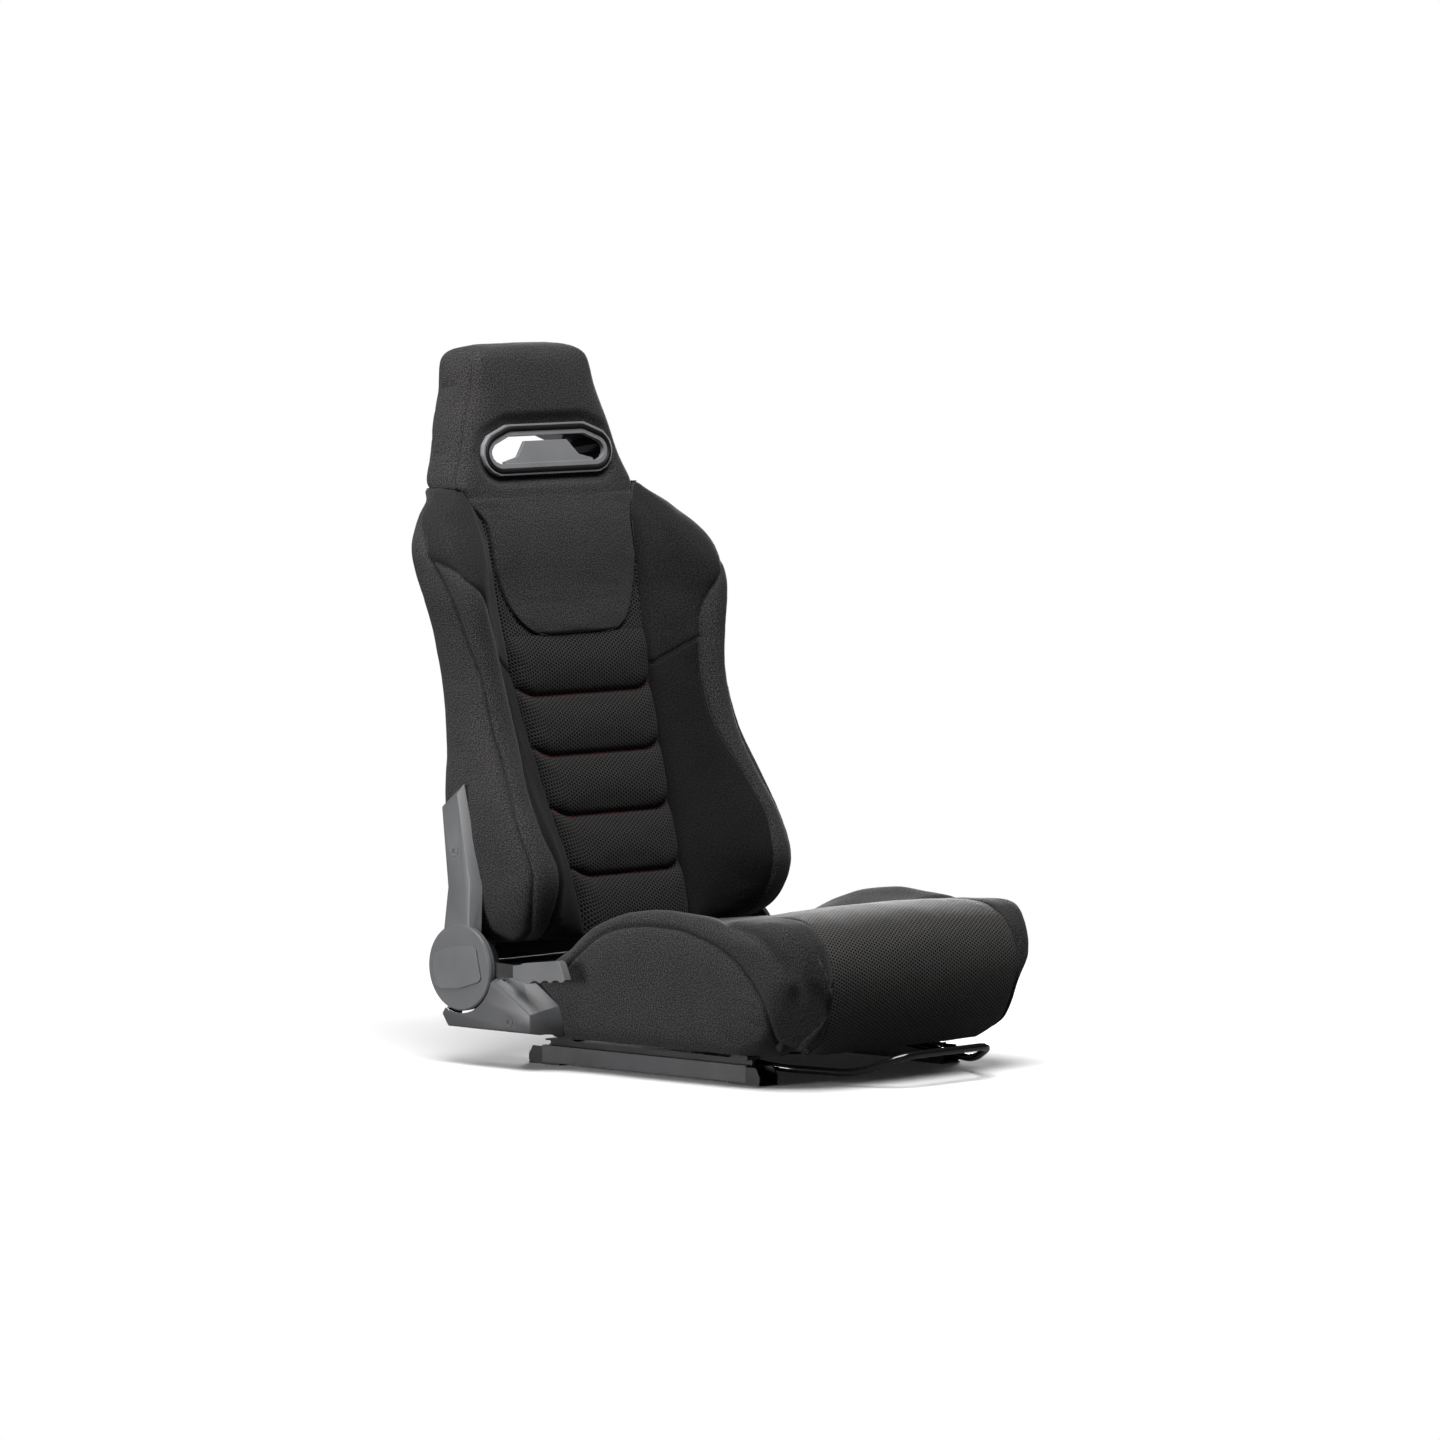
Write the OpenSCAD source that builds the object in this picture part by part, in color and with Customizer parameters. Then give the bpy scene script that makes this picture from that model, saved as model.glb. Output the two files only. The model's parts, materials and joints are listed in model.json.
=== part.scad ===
// Reclining racing seat on sliding floor rails.
// Millimetres. The seat faces -Y, +X is the sitter's left, +Z is up.
// The origin is on the floor, midway between the two rails.

/* [Rails] */
// Distance between the centre lines of the two floor rails
rail_span = 355; // [330:5:380]
// Length of each rail
rail_len = 364; // [330:2:400]
// Width of the lower rail
rail_w = 35; // [32:1:40]
// Height of the lower rail above its underside
rail_h = 23; // [20:1:26]
// Sheet thickness of the rails
rail_t = 2; // [1.6:0.1:2.4]
// Thickness of the floor feet
foot_t = 2.5; // [2:0.1:4]
// Reach of each floor foot beyond the end of its rail
foot_len = 24; // [22:1:30]
// Bore of the floor bolt holes
floor_hole_d = 8.5; // [6.5:0.1:10.5]
// Diameter of the slide balls
ball_d = 5; // [4.6:0.1:5.4]

/* [Seat frame] */
// Height of the frame's bottom flange above the floor
flange_z = 42; // [40:0.5:44]
// Sheet thickness of the seat frame
frame_t = 2.5; // [2:0.1:3]
// Half width to the outside of the side members
frame_half = 208; // [204:1:211]
// Diameter of the cross tubes
cross_d = 25; // [20:1:27]
// Wire diameter of the seat springs
seat_wire = 3.6; // [3:0.1:4]
// Number of seat springs
seat_springs = 4; // [3:1:5]

/* [Recliner] */
// Distance of the recline axis behind the middle of the rails
pivot_y = 253; // [250:0.5:256]
// Height of the recline axis above the floor
pivot_z = 128.5; // [126:0.5:131]
// Radius of the recliner units
recliner_r = 41; // [36:1:42]
// Diameter of the shaft that joins both recliners
shaft_d = 12; // [10:0.5:14]
// Radius of the round cover on the recline axis
disc_r = 57; // [55:0.5:58]
// Half width over the side covers
cover_half = 278; // [276:0.5:282]
// Wall of the side covers
cover_t = 2.5; // [2:0.1:3]
// Thickness of the arm plates
arm_t = 3; // [2.5:0.1:3.5]

/* [Backrest] */
// Width over the hips
hip_w = 524; // [512:1:524]
// Width over the waist
waist_w = 482; // [470:1:496]
// Width over the shoulders
shoulder_w = 516; // [500:1:530]
// Width of the headrest where it meets the shoulders
neck_w = 336; // [328:1:344]
// Width of the headrest near its top
head_w = 218; // [200:1:236]
// Height of the headrest top above the floor
head_z = 936; // [920:1:950]
// Height where the chest panel meets the channelled pad
chest_z = 553; // [543:1:563]
// Half width of the channelled pad at its foot
pad_half = 101; // [94:1:106]
// Number of channels in the pad
channels = 5; // [4:1:6]
// Depth of the grooves between the channels
groove = 10; // [6:0.5:12]
// Outer diameter of the frame tube in the backrest
hoop_d = 20; // [16:0.5:20]
// Diameter of the wires across the back frame
back_wire = 4; // [3:0.1:5]
// Thickness of the rear cover
rear_t = 5; // [4:0.1:6]

/* [Headrest slot] */
// Width of the slot at its widest
slot_w = 236; // [220:1:244]
// Height of the slot
slot_h = 56; // [50:1:60]
// Height of the middle of the slot above the floor
slot_z = 797; // [792:1:802]
// Wall of the slot's sleeve
sleeve_t = 2.5; // [2:0.1:3]
// Width of the slot's face ring
ring_w = 14; // [12:0.5:16]

/* [Seat cushion] */
// Width over the thigh bolsters
seat_w = 480; // [474:1:486]
// Front of the cushion ahead of the middle of the rails
seat_front = 329; // [322:1:334]
// Height of the cushion's front roll above the floor
roll_z = 223; // [216:1:230]
// Height of the thigh bolsters above the floor
thigh_z = 220; // [214:1:228]
// Height of the underside of the cushion's skirt
skirt_z = 43; // [42.5:0.5:48]
// Half width of the middle cushion
middle_half = 160; // [150:1:170]

/* [Lever and bar] */
// Length of the recline lever's grip
grip_len = 80; // [70:1:90]
// Thickness of the grip from side to side
grip_w = 13; // [10:0.5:14]
// Diameter of the slide adjuster bar
bar_d = 10; // [8:0.5:11]
// Reach of the adjuster bar ahead of the middle of the rails
bar_reach = 358; // [350:1:366]

/* [Fits] */
// Gap between neighbouring soft pieces
soft_gap = 0.7; // [0.5:0.05:1]
// Gap between plates that turn beside each other
side_gap = 0.4; // [0.3:0.05:0.6]
// Radial running fit of shafts and pins
fit = 0.05; // [0.02:0.01:0.08]

/* [Hidden] */

// ---- curves -------------------------------------------------------------
function lerp(a, b, t) = a + (b - a) * t;
function key_index(k, t, i = 0) =
  i >= len(k) - 2 || t < k[i + 1][0] ? i : key_index(k, t, i + 1);
function key_slope(k, i, c) =
  let (a = max(i - 1, 0), b = min(i + 1, len(k) - 1))
  (k[b][c] - k[a][c]) / (k[b][0] - k[a][0]);
// Value of column c at place t, on a smooth curve through the keys
function at_key(k, t, c = 1) =
  let (u = min(max(t, k[0][0]), k[len(k) - 1][0]),
       i = key_index(k, u),
       h = k[i + 1][0] - k[i][0],
       s = (u - k[i][0]) / h,
       a = key_slope(k, i, c) * h,
       b = key_slope(k, i + 1, c) * h)
  k[i][c] * (1 - 3 * s * s + 2 * s * s * s) + a * (s - 2 * s * s + s * s * s)
  + k[i + 1][c] * (3 * s * s - 2 * s * s * s) + b * (s * s * s - s * s);
// Points with their distance along the line written before them
function with_length(p, i = 0, s = 0) =
  i >= len(p) ? []
  : let (d = i == 0 ? 0 : norm(p[i] - p[i - 1]))
    concat([concat([s + d], p[i])], with_length(p, i + 1, s + d));
// n + 1 points, evenly spaced on a smooth curve through the points p
function curve(p, n) =
  let (k = with_length(p), total = k[len(k) - 1][0])
  [for (j = [0:n]) [for (c = [1:len(p[0])]) at_key(k, total * j / n, c)]];
function steps(a, b, n) = [for (i = [0:n]) a + (b - a) * i / n];
function reversed(p) = [for (i = [len(p) - 1:-1:0]) p[i]];

// A closed soft form. Each section is [outer points, inner points], of one count.
module pad(sections) {
  n = len(sections[0][0]);
  m = 2 * n;
  s = len(sections) - 1;
  points = [for (q = sections) each concat(q[0], reversed(q[1]))];
  walls = [for (i = [0:s - 1]) for (j = [0:m - 1])
    let (a = i * m + j, b = i * m + (j + 1) % m)
    each [[a, a + m, b], [b, a + m, b + m]]];
  ends = [for (e = [0, s]) for (j = [0:n - 2])
    let (a = e * m + j, b = a + 1, d = e * m + m - 1 - j, c = d - 1)
    each (e == 0 ? [[a, b, c], [a, c, d]] : [[a, c, b], [a, d, c]])];
  polyhedron(points, concat(walls, ends), convexity = 8);
}
// The same form on the other side
module other_side() {
  mirror([1, 0, 0]) children();
}
// A broad face from -w to w with round corners: side is where it starts and ends,
// level is its height, inward is 1 or -1; the sides swell a little
side_swell = 0.4;
function face(w, side, level, r, crown, inward) =
  let (arc = steps(0, 90, 3), v = w - side_swell)
  concat(
    [[-w, side]],
    [for (a = arc) [-v + r - r * cos(a), level + inward * (r - r * sin(a))]],
    [for (x = [-0.67, -0.33, 0, 0.33, 0.67])
      [x * (v - r), level - inward * crown * (1 - x * x)]],
    [for (a = reversed(arc)) [v - r + r * cos(a), level + inward * (r - r * sin(a))]],
    [[w, side]]);

// ---- shape of the backrest ----------------------------------------------
hip_half = hip_w / 2;
waist_half = waist_w / 2;
shoulder_half = shoulder_w / 2;
neck_half = neck_w / 2;
head_half = head_w / 2;
back_foot = 160;
bolster_top = 748;
cavity_top = 734;
rear_crown = 28;

// Half width of the outer side at each height
outer_keys = [
  [back_foot, hip_half - 34], [172, hip_half - 22], [190, hip_half - 9], [222, hip_half - 1],
  [258, hip_half], [304, hip_half], [358, hip_half - 4], [420, lerp(hip_half, waist_half, 0.78)],
  [500, waist_half - 1], [555, lerp(waist_half, shoulder_half, 0.24)],
  [610, lerp(waist_half, shoulder_half, 0.86)], [640, shoulder_half], [667, shoulder_half - 1],
  [690, shoulder_half - 12], [717, shoulder_half - 37], [735, lerp(shoulder_half, neck_half, 0.72)],
  [bolster_top, neck_half + 8]
];
// Half width of the middle panels and the headrest at each height
inner_keys = [
  [back_foot, pad_half - 1], [208, pad_half + 3], [261, pad_half + 7], [314, pad_half + 14],
  [380, pad_half + 21], [433, pad_half + 26], [500, pad_half + 32], [553, pad_half + 36],
  [610, pad_half + 39],
  [655, pad_half + 41], [700, pad_half + 44], [717, pad_half + 50], [735, neck_half - 9],
  [bolster_top, neck_half - 2], [760, neck_half - 4], [792, neck_half - 18],
  [834, lerp(neck_half, head_half, 0.55)], [878, head_half + 9], [909, head_half + 2],
  [head_z - 14, head_half - 4], [head_z - 6, head_half - 14], [head_z - 2, head_half - 26],
  [head_z, head_half - 42]
];
// Front face of the middle at each height
front_keys = [
  [back_foot, 187], [208, 199], [261, 216], [314, 236], [380, 257], [433, 274], [500, 294],
  [553, 304], [610, 318], [655, 324], [700, 334], [735, 349], [769, 358], [826, 367],
  [head_z - 22, 379], [head_z - 9, 384], [head_z - 3, 394], [head_z, 410]
];
// Rear face at the outer side at each height
rear_keys = [
  [back_foot, 279], [180, 292], [217, 298], [257, 301], [304, 306], [358, 313], [420, 323],
  [484, 331], [555, 341], [610, 353], [640, 364], [678, 375], [707, 385], [732, 400],
  [bolster_top, 424], [768, 434], [850, 453], [head_z - 22, 460], [head_z - 9, 456],
  [head_z - 3, 447], [head_z, 434]
];
// Bulge of the rear face between its sides at each height
crown_keys = [[back_foot, rear_crown], [700, rear_crown], [760, 12], [head_z, 5]];
// Ridge of the side bolsters: half width and place at each height
ridge_keys = [
  [back_foot, 188, 206], [168, 197, 186], [182, 203, 164], [216, 206, 143], [255, 206, 137],
  [304, 209, 157], [358, 210, 190], [423, 203, 222], [489, 206, 241], [548, 215, 250],
  [594, 225, 254], [630, 222, 261], [659, 208, 277], [690, 190, 301], [709, 177, 322],
  [733, 168, 343], [bolster_top, neck_half + 2, 357]
];
// Depth of the middle from its front to the hollow behind it
depth_keys = [
  [back_foot, 34], [208, 34], [261, 30], [314, 25], [380, 21], [433, 18], [500, 17], [553, 21],
  [610, 23], [655, 26], [735, 28]
];
// Half width of the hollow behind the middle
hollow_keys = [
  [back_foot, hip_half - 46], [257, hip_half - 42], [358, hip_half - 46], [430, waist_half - 42],
  [500, waist_half - 43], [555, waist_half - 39], [610, shoulder_half - 46],
  [655, shoulder_half - 46], [690, shoulder_half - 60], [717, pad_half + 68],
  [735, neck_half - 4], [bolster_top, neck_half + 4]
];
function outer_x(z) = at_key(outer_keys, z);
function inner_x(z) = at_key(inner_keys, z);
function front_y(z) = at_key(front_keys, z);
function side_x(z) = z < bolster_top ? outer_x(z) : inner_x(z);
function rear_y(x, z) =
  at_key(rear_keys, z) + at_key(crown_keys, z) * (1 - pow(x / side_x(z), 2));
function hollow_x(z) = at_key(hollow_keys, z);
function hollow_y(z) = front_y(z) + at_key(depth_keys, z);
function lifted(points, z) = [for (p = points) [p[0], p[1], z]];

// One side bolster at height z, on +X
function bolster_section(z) =
  let (xi = inner_x(z) + soft_gap, yi = front_y(z),
       xo = outer_x(z), yr = at_key(rear_keys, z),
       rx = at_key(ridge_keys, z, 1), ry = at_key(ridge_keys, z, 2),
       xw = hollow_x(z), yb = hollow_y(z) + soft_gap, yw = rear_y(xw, z),
       turn = min(46, (yr - ry) * 0.36), edge = min(26, (yr - ry) * 0.24),
       front = curve([[xi, yi], [lerp(xi, rx, 0.5), lerp(yi, ry, 0.44)], [rx, ry],
         [lerp(rx, xo, 0.82), ry + turn * 0.2], [xo, ry + turn], [xo, yr - edge],
         [xo - edge * 0.35, yr - edge * 0.28], [xo - edge, yr + 1], [xw, yw]], 13),
       back = concat(
         [for (x = steps(xi, xw, 5)) [x, yb]],
         [for (i = [1:8]) [xw, lerp(yb, yw, i / 8.6)]]))
  [[for (p = front) [min(p[0], xo), p[1], z]], lifted(back, z)];
bolster_stations = concat(
  [back_foot, 163, 168, 176, 190],
  steps(214, 612, 9),
  [640, 664, 684, 702, 718, 732, 742, bolster_top]);
module back_bolster() {
  pad([for (z = bolster_stations) bolster_section(z)]);
}
module back_bolster_left() {
  color("#2c2a2b") back_bolster();
}
module back_bolster_right() {
  color("#2c2a2b") other_side() back_bolster();
}

// Groove between two channels of the pad, from 0 on the crest to 1 in the seam
function in_groove(z) =
  let (f = (z - back_foot) * channels / (chest_z - back_foot), u = f - floor(f))
  pow(abs(2 * u - 1), 4);
pad_stations = [for (i = [0:channels - 1]) for (u = [0, 0.08, 0.28, 0.72, 0.92])
  lerp(back_foot, chest_z, (i + u) / channels)];
function pad_section(z) =
  let (w = inner_x(z), yf = front_y(z) + 1 - groove * (1 - in_groove(z)), yb = hollow_y(z),
       mid = lerp(yf, yb, 0.7))
  [lifted(face(w, mid, yf, 8, 2, 1), z), lifted(face(w, mid + 0.5, yb, 2, 0, -1), z)];
module back_pad() {
  color("#1d1c1c")
  pad([for (z = concat(pad_stations, [chest_z])) pad_section(z)]);
}

// Headrest and chest in one piece, with the hollow for the frame behind the chest
function core_section(z) =
  let (w = inner_x(z), yf = front_y(z), head = z > cavity_top,
       yb = head ? at_key(rear_keys, z) : hollow_y(z),
       front_r = head ? min(16, (yb - yf) * 0.3) : 6,
       rear_r = head ? min(15, (yb - yf) * 0.3) : 2,
       bulge = head ? at_key(crown_keys, z) : 0,
       mid = lerp(yf, yb, 0.5))
  [lifted(face(w, mid, yf, front_r, 4, 1), z),
   lifted(face(w, mid + 0.5, yb, rear_r, bulge, -1), z)];
core_stations = concat(
  [chest_z + soft_gap, chest_z + 5, 580, 612, 640, 664, 684, 702, 718, cavity_top],
  [cavity_top + 0.2, bolster_top, 764, 784, 808, 834, 860, 884, 902],
  [for (d = [20, 12, 7, 3.5, 1.2, 0]) head_z - d]);
module back_core() {
  color("#2e2c2d") difference() {
    pad([for (z = core_stations) core_section(z)]);
    at_slot() {
      translate([0, 0, -150]) linear_extrude(200) slot_outline(slot_fit);
      translate([0, 0, -ring_sink - slot_fit]) linear_extrude(40) slot_outline(ring_lap + slot_fit);
      translate([0, 0, slot_fit - slot_deep - 60]) linear_extrude(60)
        slot_outline(ring_lap + slot_fit);
    }
  }
}

// Rear cover that closes the hollow
cover_stations = concat([184], [for (z = bolster_stations) if (z > 188 && z < 730) z], [cavity_top - 1]);
function cover_section(z) =
  let (w = hollow_x(z) - soft_gap, xs = steps(-w, w, 8))
  [[for (x = xs) [x, rear_y(x, z) - rear_t, z]], [for (x = xs) [x, rear_y(x, z), z]]];
module rear_cover() {
  color("#29282a") pad([for (z = cover_stations) cover_section(z)]);
}

// ---- headrest slot ------------------------------------------------------
slot_lean = 8.5;
slot_deep = 80;
slot_fit = 0.3;
ring_deep = 7;
ring_sink = 0.6;
ring_rear_t = 6;
ring_lap = 6;
module at_slot() {
  translate([0, front_y(slot_z), slot_z]) rotate([90 - slot_lean, 0, 0]) children();
}
slot_corners = [
  [0.62, 0.5], [0.9, 0.28], [0.98, 0.1], [1, -0.08], [0.97, -0.28], [0.9, -0.42], [0.8, -0.5]
];
slot_points = [for (c = slot_corners) [c[0] * slot_w / 2, c[1] * slot_h]];
module slot_outline(grow = 0) {
  offset(r = grow, $fn = 24)
    polygon(concat(slot_points, reversed([for (p = slot_points) [-p[0], p[1]]])));
}
module slot_sleeve() {
  color("#141414") at_slot() translate([0, 0, -slot_deep]) linear_extrude(slot_deep - 1) difference() {
    slot_outline(0);
    slot_outline(-sleeve_t);
  }
}
module slot_ring_front() {
  tongue_top = slot_h * 0.2;
  tongue_low = slot_h * -0.5 + ring_w * 0.9;
  color("#8b8c8e") at_slot() translate([0, 0, -ring_sink]) {
    linear_extrude(ring_deep) difference() {
      slot_outline(ring_lap);
      slot_outline(-ring_w * 0.7);
    }
    translate([0, 0, 1]) linear_extrude(ring_deep - 2)
      polygon([
        [-slot_w * 0.18, tongue_top], [slot_w * 0.16, tongue_top],
        [slot_w * 0.25, tongue_low + 6], [slot_w * 0.36, tongue_low], [slot_w * 0.36, -slot_h * 0.5],
        [-slot_w * 0.36, -slot_h * 0.5], [-slot_w * 0.36, tongue_low], [-slot_w * 0.25, tongue_low + 6]
      ]);
  }
}
module slot_ring_rear() {
  color("#1a1a1a") at_slot() translate([0, 0, -slot_deep - ring_rear_t]) linear_extrude(ring_rear_t) difference() {
    slot_outline(ring_lap);
    slot_outline(-sleeve_t);
  }
}

// ---- seat cushion -------------------------------------------------------
pan_z = 90;
skirt_y = 288;
// Half width of the middle cushion, wider over the front roll
flare = 20;
flare_from = -100;
flare_to = -270;
function cushion_x(y) =
  middle_half + flare * min(max((flare_from - y) / (flare_from - flare_to), 0), 1);
// Along the middle cushion from its rear edge over the front roll: its outer line and its
// inner line
roll_keys = [
  [0, 148, 157, 148, pan_z], [1, 143, 166, 142, pan_z], [2, 128, 170.5, 127, pan_z],
  [3, 92, 174.5, 92, pan_z], [4, 44, 179.5, 44, pan_z], [5, -4, 184.5, -4, pan_z],
  [6, -52, 191, -52, pan_z], [7, flare_from, 198.5, flare_from, pan_z],
  [8, -143, roll_z - 17, -143, pan_z], [9, -186, roll_z - 9, -186, pan_z],
  [10, -228, roll_z - 4, -228, pan_z], [11, -252, roll_z - 4, -252, pan_z],
  [12, flare_to, roll_z - 8, flare_to, pan_z],
  [13, 41 - seat_front, roll_z - 17, -skirt_y + 10, pan_z],
  [14, 27 - seat_front, roll_z - 29, -skirt_y, pan_z - 2],
  [15, 14 - seat_front, roll_z - 52, -skirt_y - 1, 84],
  [16, 8 - seat_front, roll_z - 78, -skirt_y - 2, 78],
  [17, 10 - seat_front, roll_z - 106, -skirt_y - 2, 71],
  [18, 18 - seat_front, roll_z - 135, -skirt_y, 64],
  [19, 31 - seat_front, roll_z - 159, -skirt_y + 5, 56],
  [20, 44 - seat_front, skirt_z + 6, -skirt_y + 13, skirt_z + 6],
  [21, 53 - seat_front, skirt_z, -skirt_y + 17, skirt_z + 1]
];
function roll_section(s) =
  let (yo = at_key(roll_keys, s, 1), zo = at_key(roll_keys, s, 2),
       yi = at_key(roll_keys, s, 3), zi = at_key(roll_keys, s, 4), w = cushion_x(yo),
       deep = norm([yi - yo, zi - zo]), dy = (yi - yo) / deep, dz = (zi - zo) / deep,
       crown = s < 12 ? 3 : min(9, deep * 0.2), r = min(9, deep * 0.3), mid = deep * 0.6,
       on_line = function (q) [for (p = q) [p[0], yo + dy * p[1], zo + dz * p[1]]])
  [on_line(face(w, mid, 0, r, crown, 1)), on_line(face(w, mid + 0.4, deep, min(2, deep * 0.1), 0, -1))];
module seat_cushion() {
  color("#1d1c1c") pad([for (s = [21:-1:0]) roll_section(s)]);
}

// Thigh bolsters, by place along the seat: crest height, outer half width, height at the
// middle cushion, height of the underside and how far the low edge is drawn in
seat_half = seat_w / 2;
thigh_keys = [
  [13 - seat_front, 126, seat_half - 46, 132, skirt_z + 24, 20],
  [17 - seat_front, 154, seat_half - 35, 158, skirt_z + 14, 22],
  [25 - seat_front, 179, seat_half - 22, 185, skirt_z + 6, 23],
  [39 - seat_front, 197, seat_half - 12, 201, skirt_z + 2, 20],
  [54 - seat_front, 206, seat_half - 5, 210, skirt_z, 13],
  [74 - seat_front, 209, seat_half - 1, 214, skirt_z, 8],
  [-225, thigh_z - 12, seat_half, 215, skirt_z, 4], [-180, thigh_z - 9, seat_half, 211, skirt_z, 2],
  [-125, thigh_z - 4, seat_half, 204, skirt_z, 1], [-70, thigh_z, seat_half, 196, skirt_z, 0],
  [-10, thigh_z - 7, seat_half, 187, skirt_z, 0], [20, thigh_z - 15, seat_half, 183, skirt_z, 0],
  [50, thigh_z - 27, seat_half, 177, skirt_z, 0], [78, thigh_z - 45, seat_half, 166, skirt_z, 0],
  [96, thigh_z - 60, seat_half, 153, skirt_z, 0], [112, 148, seat_half - 1, 143, skirt_z + 2, 0],
  [123, 133, seat_half - 3, 129, skirt_z + 12, 0], [132, 119, seat_half - 7, 115, skirt_z + 26, 0],
  [137, 107, seat_half - 12, 104, skirt_z + 40, 0]
];
frame_room = 6;
function thigh_section(y) =
  let (zc = at_key(thigh_keys, y, 1), xo = at_key(thigh_keys, y, 2), zi = at_key(thigh_keys, y, 3),
       zb = at_key(thigh_keys, y, 4), xi = cushion_x(y) + soft_gap,
       open = y > -skirt_y, tuck = at_key(thigh_keys, y, 5),
       xw = min(frame_half + frame_room, xo - tuck - 8), zk = open ? pan_z : zb + 1,
       front = curve([[xi, zi], [lerp(xi, xo, 0.45), max(lerp(zi, zc, 0.62), zi - 2)],
         [xo - 18, zc + 0.5], [xo - 7, zc - 3], [xo, zc - (zc - zb) * 0.16], [xo - tuck * 0.1, lerp(zc, zb, 0.5)],
         [xo - 1 - tuck * 0.7, zb + 8], [xo - 5 - tuck, zb]], 10),
       back = concat(
         [for (x = steps(xi, xw, 4)) [x, zk]],
         [for (i = [1:6]) [xw, lerp(zk, zb, i / 6)]]))
  [[for (p = front) [p[0], y, p[1]]], [for (p = back) [p[0], y, p[1]]]];
thigh_stations = concat(
  [for (d = [13, 15, 19, 26, 34]) d - seat_front],
  [-skirt_y - 0.1, -skirt_y + 0.1], [flare_to, -228, -186, -143, flare_from, -52, -4, 44, 92], [105, 116, 126, 132, 137]);
module thigh_bolster() {
  pad([for (y = thigh_stations) thigh_section(y)]);
}
module thigh_bolster_left() {
  color("#2c2a2b") thigh_bolster();
}
module thigh_bolster_right() {
  color("#2c2a2b") other_side() thigh_bolster();
}

// ---- rails --------------------------------------------------------------
rail_x = rail_span / 2;
rail_top = foot_t + rail_h;
lip_w = 8;
lip_h = 6;
rail_low = foot_t + rail_t;
shoe_z = rail_low + ball_d + fit;
shoe_half = rail_w / 2 - rail_t - 1.2;
neck = 8;
upper_top = rail_top + neck;
bracket_y = [-165, 145];
bracket_len = 30;
bolt_d = 8;
module bar_along(profile_len) {
  translate([0, profile_len / 2, 0]) rotate([90, 0, 0]) linear_extrude(profile_len) children();
}
// A section with two equal sides, from the points of its right side
module even_section(points) {
  polygon(concat(points, reversed([for (p = points) [-p[0], p[1]]])));
}
module lower_rail(x) {
  half = rail_w / 2;
  color("#4a4a4c") translate([x, 0, 0]) bar_along(rail_len) even_section([
    [half, foot_t], [half, rail_top], [half - lip_w, rail_top], [half - lip_w, rail_top - lip_h],
    [half - lip_w + rail_t, rail_top - lip_h], [half - lip_w + rail_t, rail_top - rail_t],
    [half - rail_t, rail_top - rail_t], [half - rail_t, rail_low]]);
}
module lower_rail_right() {
  lower_rail(-rail_x);
}
module lower_rail_left() {
  lower_rail(rail_x);
}
web_half = rail_t + 1;
hook_top = rail_top - rail_t - 2.5;
top_half = 13;
module upper_rail(x) {
  color("#1c1c1d") difference() {
    translate([x, 0, 0]) bar_along(rail_len - 4) even_section([
      [shoe_half, shoe_z], [shoe_half, hook_top], [shoe_half - rail_t, hook_top],
      [shoe_half - rail_t, shoe_z + rail_t], [web_half, shoe_z + rail_t],
      [web_half, upper_top - rail_t], [top_half, upper_top - rail_t], [top_half, upper_top]]);
    for (y = bracket_y) translate([x, y, upper_top - rail_t])
      cylinder(d = bolt_d, h = 2 * rail_t, $fn = 48);
  }
}
module upper_rail_right() {
  upper_rail(-rail_x);
}
module upper_rail_left() {
  upper_rail(rail_x);
}
module slide_balls() {
  color("#c9c9cb") for (x = [-rail_x, rail_x], dx = [-6, 6], y = [-90, -60, 60, 90])
    translate([x + dx, y, rail_low + ball_d / 2]) sphere(d = ball_d, $fn = 32);
}
foot_hole_y = rail_len / 2 + foot_len / 2;
module floor_feet() {
  color("#18181a") for (x = [-rail_x, rail_x], end = [-1, 1])
    translate([x, end * rail_len / 2, 0]) scale_y(end) difference() {
      union() {
        translate([-rail_w / 2, -32, 0]) cube([rail_w, 32 + foot_len, foot_t]);
        for (side = [-1, 1])
          translate([side * (rail_w / 2 - foot_t / 2) - foot_t / 2, 0, 0])
            rotate([90, 0, 90]) linear_extrude(foot_t)
              polygon([[0.1, 0], [foot_len - 4, 0], [foot_len, 5], [foot_len, 12],
                [foot_len - 7, rail_top - 2], [0.1, rail_top - 2]]);
      }
      translate([0, foot_len / 2, -1]) cylinder(d = floor_hole_d, h = foot_t + 2, $fn = 48);
    }
}
// Mirrors along the seat when way is -1
module scale_y(way) {
  mirror([0, way < 0 ? 1 : 0, 0]) children();
}

// ---- seat frame ---------------------------------------------------------
flange_in = rail_x - 21;
side_front = -skirt_y + 20;
side_rear = 292;
pin_y = -112;
pin_z = 30;
pin_d = 6;
tube_z = pan_z - soft_gap - seat_wire - cross_d / 2;
front_tube = [-254, tube_z];
rear_tube = [122, tube_z];
module rail_brackets() {
  color("#101011") for (x = [-rail_x, rail_x], y = bracket_y) translate([x, y, 0])
    difference() {
      rotate([90, 0, 90]) translate([0, 0, -12]) linear_extrude(24)
        polygon([[-bracket_len / 2, upper_top], [bracket_len / 2, upper_top],
          [bracket_len / 2, upper_top + 2], [bracket_len / 2 - 8, flange_z],
          [-bracket_len / 2 + 8, flange_z], [-bracket_len / 2, upper_top + 2]]);
      translate([0, 0, upper_top - 1])
        cylinder(d = bolt_d + 2 * fit, h = flange_z - upper_top + 2, $fn = 48);
    }
}
module rail_bolts() {
  color("#8a8b8d") for (x = [-rail_x, rail_x], y = bracket_y) {
    translate([x, y, upper_top - rail_t])
      cylinder(d = bolt_d, h = flange_z + frame_t - upper_top + rail_t + 1, $fn = 48);
    translate([x, y, flange_z + frame_t]) cylinder(d = 15, h = 5, $fn = 6);
  }
}
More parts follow.
